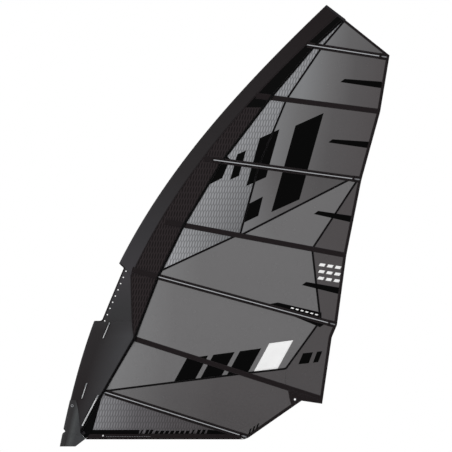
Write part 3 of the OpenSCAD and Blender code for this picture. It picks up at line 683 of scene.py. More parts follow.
# The lower leech panel has a concave corner, so two grids share its mesh.
flats = [between([KNEE_BATTEN, on_batten(6, 0.80)], [KNEE - (0.001, 0.001), KNEE], 16, 8),
         between([on_batten(6, 0.80), KNEE, LEECH_CORNER_5],
                 [on_batten(6, 1), NOTCH, on_batten(5, 1)], 36, 14)]
leech_low = joined("cloth_leech_panel_lower",
                   [(on_sail(f, -SKIN_T / 2), on_sail(f, SKIN_T / 2)) for f in flats],
                   film("film_leech_lower", [((2.0, 0.8), "#4c494a"), ((2.7, 0.8), "#4b4849")]))
place(leech_low, ["leech_panel_lower"])
declare_sheet(leech_low, *[on_sail(f, 0) for f in flats])

# ---- Seam tapes, folded over both faces, with zigzag stitching ----
stitch_runs = {-1: [], 1: []}


def sew(path, offsets, side, off, surface=on_face):
    """Notes rows of stitches beside a line, at a height off above one face."""
    stitch_runs[side] += [(path, offset, surface, off) for offset in offsets]


def tape(name, path, left, right, material, thick=0.0008, replaces=(), stitch=()):
    """A flat tape beside a line, wrapped round the sail; stitch lists offsets of zigzag rows."""
    flat = beside(path, np.linspace(left, right, 5))
    sheet_piece(name, on_sail(flat, -thick), on_sail(flat, thick), material,
                on_sail(flat, thick), replaces, unrolled=True)
    for side in (-1, 1):
        sew(path, stitch, side, thick)


HALF_TAPE = 0.0095
SEAMS = {
    "seam_scrim": SCRIM_PATH,
    "seam_dark_window": [on_batten(4, 0.346), DARK_CORNER],
    "seam_leech_upper": [LEECH_CORNER_4, LEECH_CORNER_3],
    "seam_triangle": [WINDOW_FRONT, WINDOW_CORNER],
    "seam_leech_middle": [LEECH_CORNER_5, LEECH_CORNER_4],
    "seam_knee": [KNEE_BATTEN, KNEE, LEECH_CORNER_5],
    "seam_foot": [on_batten(7, 0) + (0.015, 0.008), on_batten(6, 0.577)],
}
for name, path in SEAMS.items():
    tape(name, path, -HALF_TAPE, HALF_TAPE, BLACK, stitch=(-0.0055, 0.0055))

HEM = 0.028
LEECH_EDGE = [PEAK, LEECH[1], LEECH[2], LEECH[3], LEECH[4], NOTCH, LEECH[5] + (0.0, 0.004), CLEW]
tape("hem_leech", LEECH_EDGE, -HEM, 0.001, TAPE, 0.0016, replaces=["edge_tapes"], stitch=(-0.006, -0.022))
tape("hem_head", [HEAD_FOOT + (-0.012, 0.010), PEAK], -0.024, 0.001, TAPE, 0.0017, stitch=(-0.005, -0.019))
FOOT_EDGE = [LEECH[6] - (0.045, 0.016), LEECH[6], CLEW_LOW]
tape("hem_foot", FOOT_EDGE, -0.001, HEM, TAPE, 0.0016, stitch=(0.006, 0.022))
flat = between([(0.202, FOOT_Z), (1.722, FOOT_Z)], [(0.236, BAND_Z), (1.585, BAND_Z)], 76, 6)
BAND_T = 0.0014
sheet_piece("foot_band", on_sail(flat, -BAND_T), on_sail(flat, BAND_T), TAPE, on_sail(flat, 0))

# ---- Batten pockets ----
REAR_EDGE = np.array([(1.722, FOOT_Z), LEECH[6], (2.232, 0.4099), CLEW, LEECH[5], NOTCH, *LEECH[4::-1]])


def trimmed(flat):
    """The same points, none of them beyond the leech or below the foot."""
    x, z = flat[..., 0], np.maximum(flat[..., 1], FOOT_Z + 0.0005)
    return np.stack([np.minimum(x, np.interp(z, REAR_EDGE[:, 1], REAR_EDGE[:, 0]) - 0.0015), z], -1)


POCKET_HALF, CHANNEL_HALF, CHANNEL_TOP, FLANGE_TOP, POCKET_T = 0.028, 0.0105, 0.0146, 0.0027, 0.0007
# Half the width of the pale crown stripe, which is partly a painted highlight.
SILVER_HIGHLIGHT_HALF = 0.0043


def pocket_height(u):
    bulge = np.sqrt(np.clip(1 - (np.abs(u) / (CHANNEL_HALF + 0.001)) ** 2.4, 0, 1))
    return FLANGE_TOP + (CHANNEL_TOP - FLANGE_TOP) * bulge


pocket_us = np.concatenate([[-POCKET_HALF, -0.020, -0.0135], np.linspace(-0.0112, 0.0112, 17),
                            [0.0135, 0.020, POCKET_HALF]])
pocket_bands = [0 if abs((a + b) / 2) > SILVER_HIGHLIGHT_HALF else 1 for a, b in zip(pocket_us, pocket_us[1:])]


def pocket(n, material, start):
    """Sewn pocket with a raised channel over batten n; the channel's crown is a pale stripe, partly the
    batten seen through and partly a painted highlight.
    """
    side = batten_side(n)
    d = batten_dir(n)
    stop = batten_len(n) - REAR_GAP - HOUSING_LEN - 0.002
    flat = beside([seam_end(n) + d * start, seam_end(n) + d * stop], pocket_us, 0.021)
    high = pocket_height(pocket_us)[None, :]
    base = on_sail(flat, 0)
    ahead = np.clip((flat[..., 0] - seam_x(flat[..., 1])) / -0.02, 0, 1)
    extra = ahead * sleeve_half(flat[..., 0], flat[..., 1])
    outer, inner = base.copy(), base.copy()
    outer[..., 1] += side * (high + extra)
    inner[..., 1] += side * (high + extra - POCKET_T)
    made = shell(f"pocket_{n}", outer, inner, [TAPE, material], pocket_bands)
    path = [seam_end(n) + d * max(start, 0.03), seam_end(n) + d * (stop - 0.004)]
    sew(path, (-0.0245, -0.0165, 0.0165, 0.0245), side, FLANGE_TOP)
    declare_sheet(made, outer, unrolled=True)
    return made


def along_batten(n, start, before_end):
    """Line along batten n, from start past the seam to before_end short of the leech."""
    return [seam_end(n) + batten_dir(n) * start, seam_end(n) + batten_dir(n) * (batten_len(n) - before_end)]


POCKET_START = {1: -0.072, 3: -0.085, 5: 0.004, 7: 0.02}
BACKING_LOW, BACKING_HIGH, PATCH_NEAR, PATCH_FAR = 0.0004, 0.0018, 0.0017, 0.0019
for n in range(1, 8):
    replaced = {1: ["pockets_port"], 2: ["pockets_starboard"]}.get(n, [])
    place(pocket(n, SILVER_AND_HIGHLIGHT, POCKET_START.get(n, 0.012)), replaced)
    side = batten_side(n)
    flat = trimmed(beside(along_batten(n, 0.008, 0.004), np.linspace(-0.025, 0.025, 7), 0.03))
    sheet_piece(f"backing_{n}", on_face(flat, -side, BACKING_HIGH), on_face(flat, -side, BACKING_LOW), TAPE,
                on_sail(flat, 0), unrolled=True)
    rear = along_batten(n, batten_len(n) - 0.090, 0.003)
    flat = trimmed(beside(rear, np.linspace(-0.014 if n == 7 else -0.030, 0.030, 7), 0.01))
    sheet_piece(f"tensioner_patch_{n}", on_face(flat, side, PATCH_FAR), on_face(flat, side, PATCH_NEAR),
                TAPE, on_sail(flat, 0), unrolled=True)
    sew(along_batten(n, 0.02, 0.03), (-0.021, 0.021), -side, BACKING_HIGH)

# ---- Mini battens at the leech ----
# The batten above each, its share of the leech between two battens, its length and its rise.
MINI_PLACES = ((1, 0.49, 0.420, 0.029), (2, 0.51, 0.409, 0.025), (3, 0.48, 0.380, 0.049),
               (4, 0.49, 0.379, 0.057))
for n, share, reach, rise in MINI_PLACES:
    end = mix(LEECH[n], LEECH[n - 1], share)
    flat = between([end + (-reach, rise), end + (-0.026, -0.030)],
                   [end + (0.040 - reach, rise + 0.030), end + (-0.022, 0.032)], 24, 8)
    u = np.linspace(-1, 1, 9)[None, :]
    t = np.linspace(0, 1, 25)[:, None]
    dome = 0.0008 + 0.0024 * np.clip(1 - u**4, 0, 1) * np.clip(6 * t * (1 - t), 0, 1)
    front = on_sail(flat, 0)
    front[..., 1] -= dome + 0.0004
    wedge = shell(f"mini_batten_{n}", front, on_sail(flat, -0.0004), PRINT)
    place(wedge, ["mini_battens"] if n == 1 else [])

# ---- Mast sleeve ----
SLEEVE = sleeve_cloth()
MESH = sleeve_mesh()
SLEEVE_T = 0.0006


def path_of(x_at, z0, z1, n):
    z = np.linspace(z0, z1, n + 1)
    return np.stack([x_at(z), z], -1)


def wrapped(name, front, aft, rows, cols, material, out=0.0, thick=SLEEVE_T, folds=None, push=None):
    """A sheet from the starboard seam round the nose to the port seam, out proud of the sleeve."""
    flat = between(front, aft, rows, cols, 2.2)
    share = np.linspace(0, 1, cols + 1)[None, :] ** 2.2
    faces = []
    for inset in (0.0, thick):
        x = flat[..., 0] + (inset - out) * (1 - share)
        z = flat[..., 1]
        half = sleeve_half(x + out * (1 - share), z, inset)
        half = half + np.where(half > 0, out, 0) * np.clip(share * 60, 0, 1)
        if folds is not None:
            half = half + folds(flat[..., 0], z) * np.clip(share * 30, 0, 1)
        mid = sail_y(x, z)
        if push is not None:
            x = x + push(z) * (1 - share) ** 3
        port = np.stack([x, mid - half, z], -1)
        star = np.stack([x, mid + half, z], -1)
        faces.append(np.concatenate([star[:, :0:-1], port], axis=1))
    return shell(name, faces[0], faces[1], material), faces[0]


BITE_DEPTH, BITE_Z, BITE_LEN = 0.021, 0.147, 0.014


def nose_bite(z):
    """How far the nose is pushed in at the downhaul opening."""
    return BITE_DEPTH * hump(z, BITE_Z, BITE_LEN)


CUT_NOSE_LOW, CUT_NOSE_TOP = np.array((0.284, 1.206)), np.array((0.523, 1.758))
CUT_IN = np.array([(0.346, 1.206), (0.363, 1.216), (0.371, 1.236), (0.430, 1.380), (0.500, 1.548),
                   (0.563, 1.697), (0.570, 1.714)])
PANEL_BREAK, HEAD_SIDE_Z = np.array((0.638, 1.640)), 4.143

upper_aft = np.concatenate([[PANEL_BREAK], path_of(side_x, 1.690, HEAD_SIDE_Z, 48)])
sleeve_up, grid = wrapped("sleeve_upper_skin", path_of(nose_x, CUT_NOSE_TOP[1], HEAD[1], 49), upper_aft,
                          120, 22, SLEEVE)
place(sleeve_up, ["sleeve_upper_port", "sleeve_upper_starboard"])
declare_sheet(sleeve_up, grid, unrolled=True)

lower_aft = np.concatenate([path_of(seam_x, 0.130, 1.035, 26), [(0.658, 1.118), (0.651, 1.206)]])
sleeve_low, grid = wrapped("sleeve_lower_skin", path_of(nose_x, 0.130, CUT_NOSE_LOW[1], 28), lower_aft,
                           110, 26, SLEEVE, push=nose_bite)
place(sleeve_low, ["sleeve_lower_port", "sleeve_lower_starboard"])
declare_sheet(sleeve_low, grid, unrolled=True)

FLANK_AFT = [(0.651, 1.206), (0.650, 1.240), (0.646, 1.350), (0.640, 1.490), (0.636, 1.645)]
SIDE_LOW = [(0.671, 1.040), (0.659, 1.118), (0.652, 1.206), (0.646, 1.350), (0.641, 1.490),
            (0.638, 1.640)]
side_front = np.concatenate([resample(SIDE_LOW, 0.1), path_of(side_x, 1.690, HEAD_SIDE_Z, 36)])
side_aft = path_of(seam_x, 1.040, SEAM[8, 1], len(side_front) - 1)
for side, hand in HANDS:
    flat = between(CUT_IN, FLANK_AFT, 30, 12)
    outside = on_sleeve(flat, side, 0)
    sheet_piece(f"sleeve_flank_{hand}", outside, on_sleeve(flat, side, -SLEEVE_T), SLEEVE,
                outside)
    flat = between(side_front, side_aft, 130, 10)
    outside = on_sleeve(flat, side, 0)
    sheet_piece(f"sleeve_side_skin_{hand}", outside, on_sleeve(flat, side, -SLEEVE_T), MESH,
                outside, ["sleeve_side_" + hand])


def sleeve_tape(name, path, left, right, side, material, low=-0.0004, high=0.0009,
                stitch=()):
    """A tape on one side of the sleeve."""
    flat = beside(path, np.linspace(left, right, 5), 0.015)
    outside = on_sleeve(flat, side, high)
    sheet_piece(name, outside, on_sleeve(flat, side, low), material, outside, unrolled=True)
    sew(path, stitch, side, high, on_sleeve)


nose_edge = np.concatenate([[CUT_NOSE_LOW + (0.012, 0)], CUT_IN, [CUT_NOSE_TOP + (0.012, -0.012)]])
for side, hand in HANDS:
    sleeve_tape(f"seam_sleeve_{hand}", SEAM, -0.012, 0.013, side, BLACK, high=0.0012, stitch=(-0.008, 0.008))
    sleeve_tape(f"seam_side_{hand}", side_front, -0.0052, 0.0052, side, TAPE, stitch=(0.0,))
    sleeve_tape(f"cut_out_binding_{hand}", nose_edge, -0.010, 0.001, side, TAPE, low=-0.0010,
                stitch=(-0.007,))
    for n in (2, 3, 4, 5):
        d = batten_dir(n)
        at = seam_end(n)
        reach = 0.18
        while at[0] - d[0] * reach < side_x(at[1] - d[1] * reach) and reach > 0.05:
            reach -= 0.004
        reach = 0.26 if n == 5 else reach
        sleeve_tape(f"batten_patch_{n}_{hand}", [at - d * reach, at + d * 0.006], -0.029, 0.029, side, TAPE,
                    stitch=(-0.026, 0.026))

# ---- Height marks beside the boom cut-out ----
MARKS, MARK_R = 9, 0.0062
first_mark, last_mark = np.array((0.386, 1.206)), np.array((0.590, 1.683))


def dot(centre, side):
    """Vertices and faces of a small raised round mark on the sleeve."""
    angles = np.linspace(0, 2 * math.pi, 17)[:-1]
    rings = [(0.0, 0.0007), (0.6, 0.0006), (1.0, 0.0003), (1.0, -0.0004), (0.0, -0.0004)]
    verts, faces = [], []
    for share, off in rings:
        ring = centre + MARK_R * share * np.stack([np.cos(angles), np.sin(angles)], -1)
        if share == 0:
            ring = ring[:1]
        verts.append(on_sleeve(ring[None], side, off)[0])
    top, mid, edge, under, bottom = 0, 1, 17, 33, 49
    for k in range(16):
        nxt = (k + 1) % 16
        faces.append([top, mid + nxt, mid + k])
        faces.append([mid + k, mid + nxt, edge + nxt, edge + k])
        faces.append([edge + k, edge + nxt, under + nxt, under + k])
        faces.append([under + k, under + nxt, bottom])
    if side < 0:
        faces = [f[::-1] for f in faces]
    return np.concatenate(verts), faces


verts, faces = [], []
for side in (-1, 1):
    for k in range(MARKS):
        v, f = dot(mix(first_mark, last_mark, k / (MARKS - 1)), side)
        base = sum(len(x) for x in verts)
        verts.append(v)
        faces += [[i + base for i in face] for face in f]
marks = make_object("height_marks", np.concatenate(verts).tolist(), faces, WHITE, np.zeros(len(faces), bool))
place(marks)

# ---- Eyelets and the light stitch line of the foot ----
def washer(name, surface, side, base, centre, inner, outer, material):
    """Round flange, like an eyelet's, on one face of a surface, base above it."""
    angles = np.linspace(0, 2 * math.pi, 33)
    radii = np.linspace(inner, outer, 5)
    spokes = np.stack([np.cos(angles), np.sin(angles)], -1)
    flat = np.asarray(centre) + radii[None, :, None] * spokes[:, None]
    dome = 0.0012 * (0.35 + 0.65 * np.sin(np.linspace(0.2, math.pi - 0.2, 5)))[None, :]
    place(shell(name, surface(flat, side, base + dome), surface(flat, side, base - 0.0004), material))


EYELET = plastic("eyelet_grey", "#a9abad", 0.35)
for side, hand in HANDS:
    washer(f"nose_eyelet_{hand}", on_sleeve, side, 0.0052, (0.074, 0.392), 0.0085, 0.0125, EYELET)
    washer(f"foot_eyelet_{hand}", on_face, side, 0.0016, (0.370, 0.104), 0.0022, 0.0075, WHITE)
dashes = []
for k in range(26):
    x = 0.402 + 0.0165 * k
    flat = between([(x, 0.0935), (x + 0.008, 0.0935)], [(x, 0.0975), (x + 0.008, 0.0975)], 2, 1)
    dashes += [(on_face(flat, side, 0.0023), on_face(flat, side, 0.0012)) for side in (-1, 1)]
place(joined("foot_stitch_line", dashes, LIGHT_THREAD))

# ---- Neoprene tack fairing ----
FAIRING_TOP = 0.446
FAIRING_AFT = [(0.105, 0.0), (0.202, 0.074), (0.152, 0.130), (0.149, 0.180), (0.146, 0.230), (0.139, 0.290),
               (0.130, 0.350), (0.120, 0.400), (0.112, 0.430), (0.105, FAIRING_TOP)]


FOLD_DEPTH, FOLD_PITCH, CREASE_DEPTH, FRONT_DEPTH, DEEPEST = 0.0026, 0.062, 0.0045, 0.0060, 0.008
SLEEVE_FOOT_Z = 0.12


def fairing_folds(x, z):
    """Soft slanting creases in the neoprene, deeper near the foot, and a fold line down its front."""
    run = 0.80 * x + 0.60 * z
    folds = FOLD_DEPTH * np.sin(2 * np.pi * run / FOLD_PITCH) * hump(z, 0.17, 0.13)
    up_crease = -CREASE_DEPTH * hump(z - 0.075 - 0.95 * (x - 0.045), 0.0, 0.008)
    up_crease = up_crease * np.clip((x - 0.03) / 0.04, 0, 1) * np.clip((0.125 - x) / 0.02, 0, 1)
    down_crease = -CREASE_DEPTH * hump(z - 0.120 + 0.42 * (x - 0.105), 0.0, 0.007)
    down_crease = down_crease * np.clip((x - 0.095) / 0.02, 0, 1)
    front = -FRONT_DEPTH * hump(x - nose_x(z), 0.048, 0.004) * np.clip(1.6 - z / 0.10, 0, 1)
    # The sleeve lies close under the fairing above its own foot, so no crease may reach it there.
    deepest = np.where(z > SLEEVE_FOOT_Z, -FOLD_DEPTH, -DEEPEST)
    return np.maximum(folds + up_crease + down_crease + front, deepest)


fairing, grid = wrapped("fairing_cover", path_of(nose_x, 0, FAIRING_TOP, 40), FAIRING_AFT, 130, 34,
                        neoprene(), out=0.0045, thick=0.003, folds=fairing_folds, push=nose_bite)
place(fairing, ["tack_fairing"])
declare_sheet(fairing, grid, unrolled=True)

# ---- Tack patch and its webbing ----
flat = between([(0.200, 0.076), (0.154, 0.132), (0.345, 0.484)],
               [(0.206, 0.078), (0.272, 0.158), (0.362, 0.490)], 40, 8)
TACK_T, STRIP_T, STRAP_T = 0.0022, 0.0021, 0.002
sheet_piece("tack_patch_cloth", on_sail(flat, -TACK_T), on_sail(flat, TACK_T), PATCH,
            on_sail(flat, 0), ["tack_patch"])
flat = between([(0.238, 0.121), (0.712, 0.121)], [(0.268, 0.160), (0.722, 0.160)], 28, 3)
sheet_piece("tack_strip", on_sail(flat, -STRIP_T), on_sail(flat, STRIP_T), PATCH,
            on_sail(flat, 0))
flat = between([(0.112, 0.092), (0.186, 0.152)], [(0.126, 0.070), (0.203, 0.126)], 12, 6)
straps = [(on_sail(flat, near), on_sail(flat, near + STRAP_T)) for near in (-0.0043, 0.0023)]
place(joined("tack_webbing", straps, WEB))

# ---- Clew patch, with a hole for the ring ----
OUTLINE = np.array([(2.143, 0.562), (2.20, 0.546), (2.30, 0.514), (2.40, 0.484), (2.462, 0.464),
                    (2.472, 0.410), (2.37, 0.4255), (2.275, 0.440), (2.230, 0.409), (2.186, 0.378),
                    (2.160, 0.460)])


def fix_normals(obj):
    """Turns the faces of a closed mesh outwards."""
    mesh = bmesh.new()
    mesh.from_mesh(obj.data)
    bmesh.ops.recalc_face_normals(mesh, faces=mesh.faces)
    mesh.to_mesh(obj.data)
    mesh.free()


def clew_layer(name, outline, thick, hole, replaces=()):
    """Polygon of cloth with a round hole at the clew eye, as a ring of cells, stitched near its edge."""
    edge = resample(np.concatenate([outline, outline[:1]]), 0.008)[:-1]
    away = edge - CLEW_EYE
    angle = np.arctan2(away[:, 1], away[:, 0])
    rim = CLEW_EYE + hole * np.stack([np.cos(angle), np.sin(angle)], -1)
    shares = np.linspace(0, 1, 9) ** 1.5
    flat = mix(rim[:, None], edge[:, None], shares[None, :, None])
    n, c = flat.shape[:2]
    front, back = on_sail(flat, -thick), on_sail(flat, thick)
    verts = np.concatenate([front.reshape(-1, 3), back.reshape(-1, 3)])
    faces = []
    for i in range(n):
        k = (i + 1) % n
        for j in range(c - 1):
            quad = [i * c + j, i * c + j + 1, k * c + j + 1, k * c + j]
            faces.append(quad)
            faces.append([q + n * c for q in quad[::-1]])
        faces.append([i * c, k * c, k * c + n * c, i * c + n * c])
        faces.append([i * c + c - 1, i * c + c - 1 + n * c, k * c + c - 1 + n * c, k * c + c - 1])
    made = make_object(name, verts.tolist(), faces, CLEW_CLOTH, np.zeros(len(faces), bool))
    fix_normals(made)
    place(made, replaces)
    declare_sheet(made, on_sail(np.concatenate([flat, flat[:1]]), 0))
    for side in (-1, 1):
        sew(mix(CLEW_EYE, np.concatenate([outline, outline[:1]]), 0.88), (0.0,), side, thick)


clew_layer("clew_patch_cloth", OUTLINE, 0.0018, 0.0132, ["clew_patch"])
clew_layer("clew_patch_top", mix(CLEW_EYE, OUTLINE, 0.62), 0.0026, 0.0135)

# ---- Head cap ----
# Each ring's height over the head's line, how far it stands proud of the sleeve, and its narrowing.
CAP_RINGS = ((-0.018, 0.0008, 1), (-0.017, 0.0022, 1), (-0.001, 0.0024, 1), (0.002, 0.0010, 1),
             (0.004, 0, 0.8), (0.0052, 0, 0.4), (0.0055, 0, 0.05))


def head_cap():
    """Padded cap over the sleeve's head, with a skirt down its outside."""
    tilt = math.atan2(HEAD[1] - HEAD_FOOT[1], HEAD_FOOT[0] - HEAD[0])
    up = np.array((math.sin(tilt), math.cos(tilt)))
    line = mix(np.array((2.5125, 4.2365)), HEAD_FOOT + (0.004, 0.0), (np.linspace(0, 1, 31) ** 2.2)[:, None])
    rings = []
    for high, out, taper in CAP_RINGS:
        x, z = (line + up * high).T
        half = np.maximum(sleeve_half(x + out, z) + out, 0.0006) * taper
        mid = sail_y(x, z)
        port, star = np.stack([x, mid - half, z], -1), np.stack([x, mid + half, z], -1)
        rings.append(np.concatenate([star[::-1], port]))
    n = len(rings[0])
    faces = [[r * n + k, r * n + (k + 1) % n, (r + 1) * n + (k + 1) % n, (r + 1) * n + k]
             for r in range(len(rings) - 1) for k in range(n)]
    faces += [list(range(n))[::-1], [(len(rings) - 1) * n + k for k in range(n)]]
    made = make_object("head_cap_pad", np.concatenate(rings).tolist(), faces, WEB, np.ones(len(faces), bool))
    fix_normals(made)
    return made


cap = place(head_cap(), ["head_cap"])

# ---- Zips ----
ZIPS = [((0.433, 1.190), (0.368, 1.037)), ((0.214, 0.610), (0.164, 0.456)), ((0.324, 0.494), (0.168, 0.196))]
ZIP_LIFT, ZIP_HALF, TOOTH_PITCH, TOOTH_LEN, TOOTH_H = 0.0055, 0.012, 0.0030, 0.0027, 0.0022
TOOTH = [(-1, -1, 0), (1, -1, 0), (1, 1, 0), (-1, 1, 0), (-0.8, -0.75, 1), (0.8, -0.75, 1), (0.8, 0.75, 1),
         (-0.8, 0.75, 1)]
TOOTH_FACES = [(3, 2, 1, 0), (4, 5, 6, 7), (0, 1, 5, 4), (1, 2, 6, 5), (2, 3, 7, 6), (3, 0, 4, 7)]
ZIP_TAPE = webbing("zip_tape", "#1d1b1c")
ZIP_TEETH = plastic("zip_teeth", "#e2e3e4", 0.35)


def zip_fastener(k, top, bottom):
    """Woven tapes with two rows of interlocking moulded teeth."""
    top, bottom = np.array(top), np.array(bottom)
    ends = on_sleeve(np.array([[top, bottom]]), -1, ZIP_LIFT)[0]
    run = ends[1] - ends[0]
    length = float(np.linalg.norm(run))
    run /= length
    side = np.cross((0, -1, 0), run)
    side /= np.linalg.norm(side)
    out = np.cross(run, side)
    us = np.linspace(0, length, int(length / 0.01) + 2)
    vs = np.linspace(-ZIP_HALF, ZIP_HALF, 9)
    rise = -0.0006 + 0.0005 * np.cos(vs / ZIP_HALF * math.pi)
    grid = ends[0] + us[:, None, None] * run + vs[None, :, None] * side + rise[None, :, None] * out
    tapes = shell(f"zip_tape_{k}", grid + out * 0.0004, grid - out * 0.0005, ZIP_TAPE)
    place(tapes, ["zip_tapes"] if k == 1 else [])
    tooth_w = 0.012 if k == 3 else 0.0072
    verts, faces = [], []
    for i in range(int(length / TOOTH_PITCH) - 1):
        hand = -1 if i % 2 else 1
        at = ends[0] + run * (i + 0.7) * TOOTH_PITCH + side * hand * 0.0012
        base = len(verts)
        for a, b, c in TOOTH:
            corner = at + run * a * TOOTH_LEN / 2 + side * b * tooth_w / 2 + out * (c * TOOTH_H - 0.0001)
            verts.append(corner.tolist())
        faces += [[base + i for i in f] for f in TOOTH_FACES]
    teeth = make_object(f"zip_teeth_{k}", verts, faces, ZIP_TEETH, np.zeros(len(faces), bool))
    fix_normals(teeth)
    place(teeth)


for k, (top, bottom) in enumerate(ZIPS, 1):
    zip_fastener(k, top, bottom)



# ---- Printed bars and marks: plain slanted shapes, laid on both faces ----
def bar(name, corners, material=PRINT, lift=0.0006):
    """Four corners (x, z): low front, low aft, high aft, high front."""
    low_front, low_aft, high_aft, high_front = [np.array(c) for c in corners]
    size = max(np.linalg.norm(high_front - low_front), np.linalg.norm(low_aft - low_front))
    rows = max(int(size / 0.03), 3)
    flat = between([low_front, high_front], [low_aft, high_aft], rows, rows)
    place(shell(name, on_sail(flat, -lift), on_sail(flat, lift), material))


def slanted(x, z, width, height, lean=0.28):
    """Corners of an upright bar that leans aft: lean is its run for each metre of rise."""
    aft, rise = x + width, z + 0.45 * width
    return [(x, z), (aft, rise), (aft + lean * height, rise + height), (x + lean * height, z + height)]


BARS = {
    "bar_seam": [(1.372, 2.505), (1.515, 2.578), (1.590, 2.760), (1.555, 2.790)],
    "bar_1": slanted(1.590, 2.560, 0.085, 0.245),
    "bar_2": slanted(1.745, 2.500, 0.190, 0.460),
    "bar_3": slanted(1.985, 2.250, 0.270, 0.830),
    "bar_low": [(1.725, 2.150), (1.860, 2.215), (1.905, 2.400), (1.770, 2.330)],
}
for name, corners in BARS.items():
    bar(name, corners)


def lean_block(x, width, height, lean=0.55):
    """Corners of a block that stands on the seam of the foot panel and leans aft."""
    low, high = 0.470 + 0.135 * x, 0.470 + 0.135 * (x + width)
    return [(x, low), (x + width, high), (x + width + lean * height, high + height),
            (x + lean * height, low + height)]


for k in range(3):
    bar(f"block_{k + 1}", lean_block(1.045 + 0.255 * k, 0.205, 0.235))
bar("block_white", lean_block(1.815, 0.230, 0.275), WHITE)
bar("block_small_1", [(2.245, 0.790), (2.345, 0.800), (2.385, 0.905), (2.290, 0.895)])
bar("block_small_2", [(2.385, 0.805), (2.435, 0.810), (2.475, 0.915), (2.425, 0.910)])


def near_batten(n, share, up):
    d = batten_dir(n)
    return on_batten(n, share) + up * np.array((-d[1], d[0]))


# Wedge-shaped reinforcement round the rear of batten 5, with a row of plain dashes.
DASH_LIFT = 0.0009
bar("wedge_high", [near_batten(5, 0.60, 0.010), near_batten(5, 0.912, 0.012), near_batten(5, 0.902, 0.078),
                   near_batten(5, 0.66, 0.062)])
bar("wedge_low", [near_batten(5, 0.70, -0.012), near_batten(5, 0.915, -0.062), near_batten(5, 0.930, -0.030),
                  near_batten(5, 0.930, -0.012)])
for k in range(6):
    at = 0.735 + 0.027 * k
    bar(f"dash_{k + 1}", [near_batten(5, at, 0.040), near_batten(5, at + 0.015, 0.040),
                          near_batten(5, at + 0.018, 0.052), near_batten(5, at + 0.003, 0.052)],
        WHITE, DASH_LIFT)

# Three rows of slanted white dashes on the leech panel.
for row in range(3):
    for k in range(3):
        x, z = 2.440 + 0.076 * k - 0.006 * row, 1.770 - 0.064 * row - 0.012 * k
        bar(f"leech_dash_{row}_{k}",
            [(x, z - 0.036), (x + 0.052, z - 0.044), (x + 0.068, z - 0.018), (x + 0.016, z - 0.010)], WHITE)

# Slashes in the foot band's edge, and behind the foot.
FOOT_LIFT, CLEW_LIFT = 0.0017, 0.0019
for k, x in enumerate((0.722, 0.768, 0.806, 1.215, 1.262, 1.308)):
    aft = x + (0.016 if k % 3 == 0 else 0.030)
    bar(f"foot_slash_{k + 1}", [(x, 0.120), (aft, 0.120), (aft + 0.020, 0.162), (x + 0.020, 0.162)],
        lift=FOOT_LIFT)
for k in range(7):
    x = 0.862 + 0.049 * k
    bar(f"foot_block_{k + 1}", [(x, 0.122), (x + 0.034, 0.122), (x + 0.048, 0.152), (x + 0.014, 0.152)],
        lift=FOOT_LIFT)
bar("foot_strip", [(1.360, 0.120), (1.560, 0.120), (1.500, 0.150), (1.374, 0.162)], lift=FOOT_LIFT)
for k in range(3):
    x, z = 1.762 + 0.036 * k, 0.112 + 0.024 * k
    bar(f"clew_slash_{k + 1}",
        [(x, z), (x + 0.018, z + 0.012), (x + 0.036, z + 0.066), (x + 0.018, z + 0.054)], lift=CLEW_LIFT)

# ---- Stitching ----
STITCH_PITCH, STITCH_SWING, THREAD_W, THREAD_H, THREAD_SINK = 0.0055, 0.0016, 0.0008, 0.0006, 0.0001


def stitches(name, runs, side):
    """Zigzag thread along many lines on one face, each leg a small prism."""
    verts, faces, base = [], [], 0
    for path, offset, surface, off in runs:
        flat = beside(path, [offset - STITCH_SWING, offset + STITCH_SWING], STITCH_PITCH)
        zig = np.where((np.arange(len(flat)) % 2 == 0)[:, None], flat[:, 0], flat[:, 1])
        points = surface(zig[None], side, off)[0]
        a, b = points[:-1], points[1:]
        run = b - a
        run /= np.linalg.norm(run, axis=1)[:, None]
        across = np.cross(run, (0, 1, 0)) * THREAD_W / 2
        out = np.array((0, side * THREAD_H, 0))
        down = np.array((0, -side * THREAD_SINK, 0))
        block = np.stack([a - across + down, a + across + down, a + out,
                          b - across + down, b + across + down, b + out], 1)
        verts.append(block.reshape(-1, 3))
        count = len(a)
        shape = [(0, 1, 4, 3), (1, 2, 5, 4), (2, 0, 3, 5), (0, 2, 1), (3, 4, 5)]
        if side < 0:
            shape = [s[::-1] for s in shape]
        faces += [[base + 6 * i + k for k in s] for i in range(count) for s in shape]
        base += 6 * count
    place(make_object(name, np.concatenate(verts).tolist(), faces, THREAD, np.zeros(len(faces), bool)))


for side, hand in HANDS:
    stitches(f"stitching_{hand}", stitch_runs[side], side)

# ---- Finish of the CAD parts that stay ----
CARBON = plastic("batten_coat", "#9fa1a4", 0.3, 0.5)
HOUSING = plastic("tensioner_plastic", "#2e2b2c", 0.42, 0.12, 0.008)
CAP_GREY = plastic("tensioner_cap", "#77787b", 0.4)
CAM = plastic("cam_nylon", "#26262a", 0.45)
ROLLER = plastic("roller_acetal", "#e4e4e0", 0.3, gloss=0.0)
SHEAVE = plastic("sheave_acetal", "#26262a", 0.35)
STEEL = metal("stainless", "#c9cbce", 0.28)
RING = metal("dark_ring", "#4c4d50", 0.34)
SLIDER = metal("slider_metal", "#85878a", 0.34)
ALLOY = metal("anodised_alloy", "#cdd0d3", 0.36, (1, 14, 1))
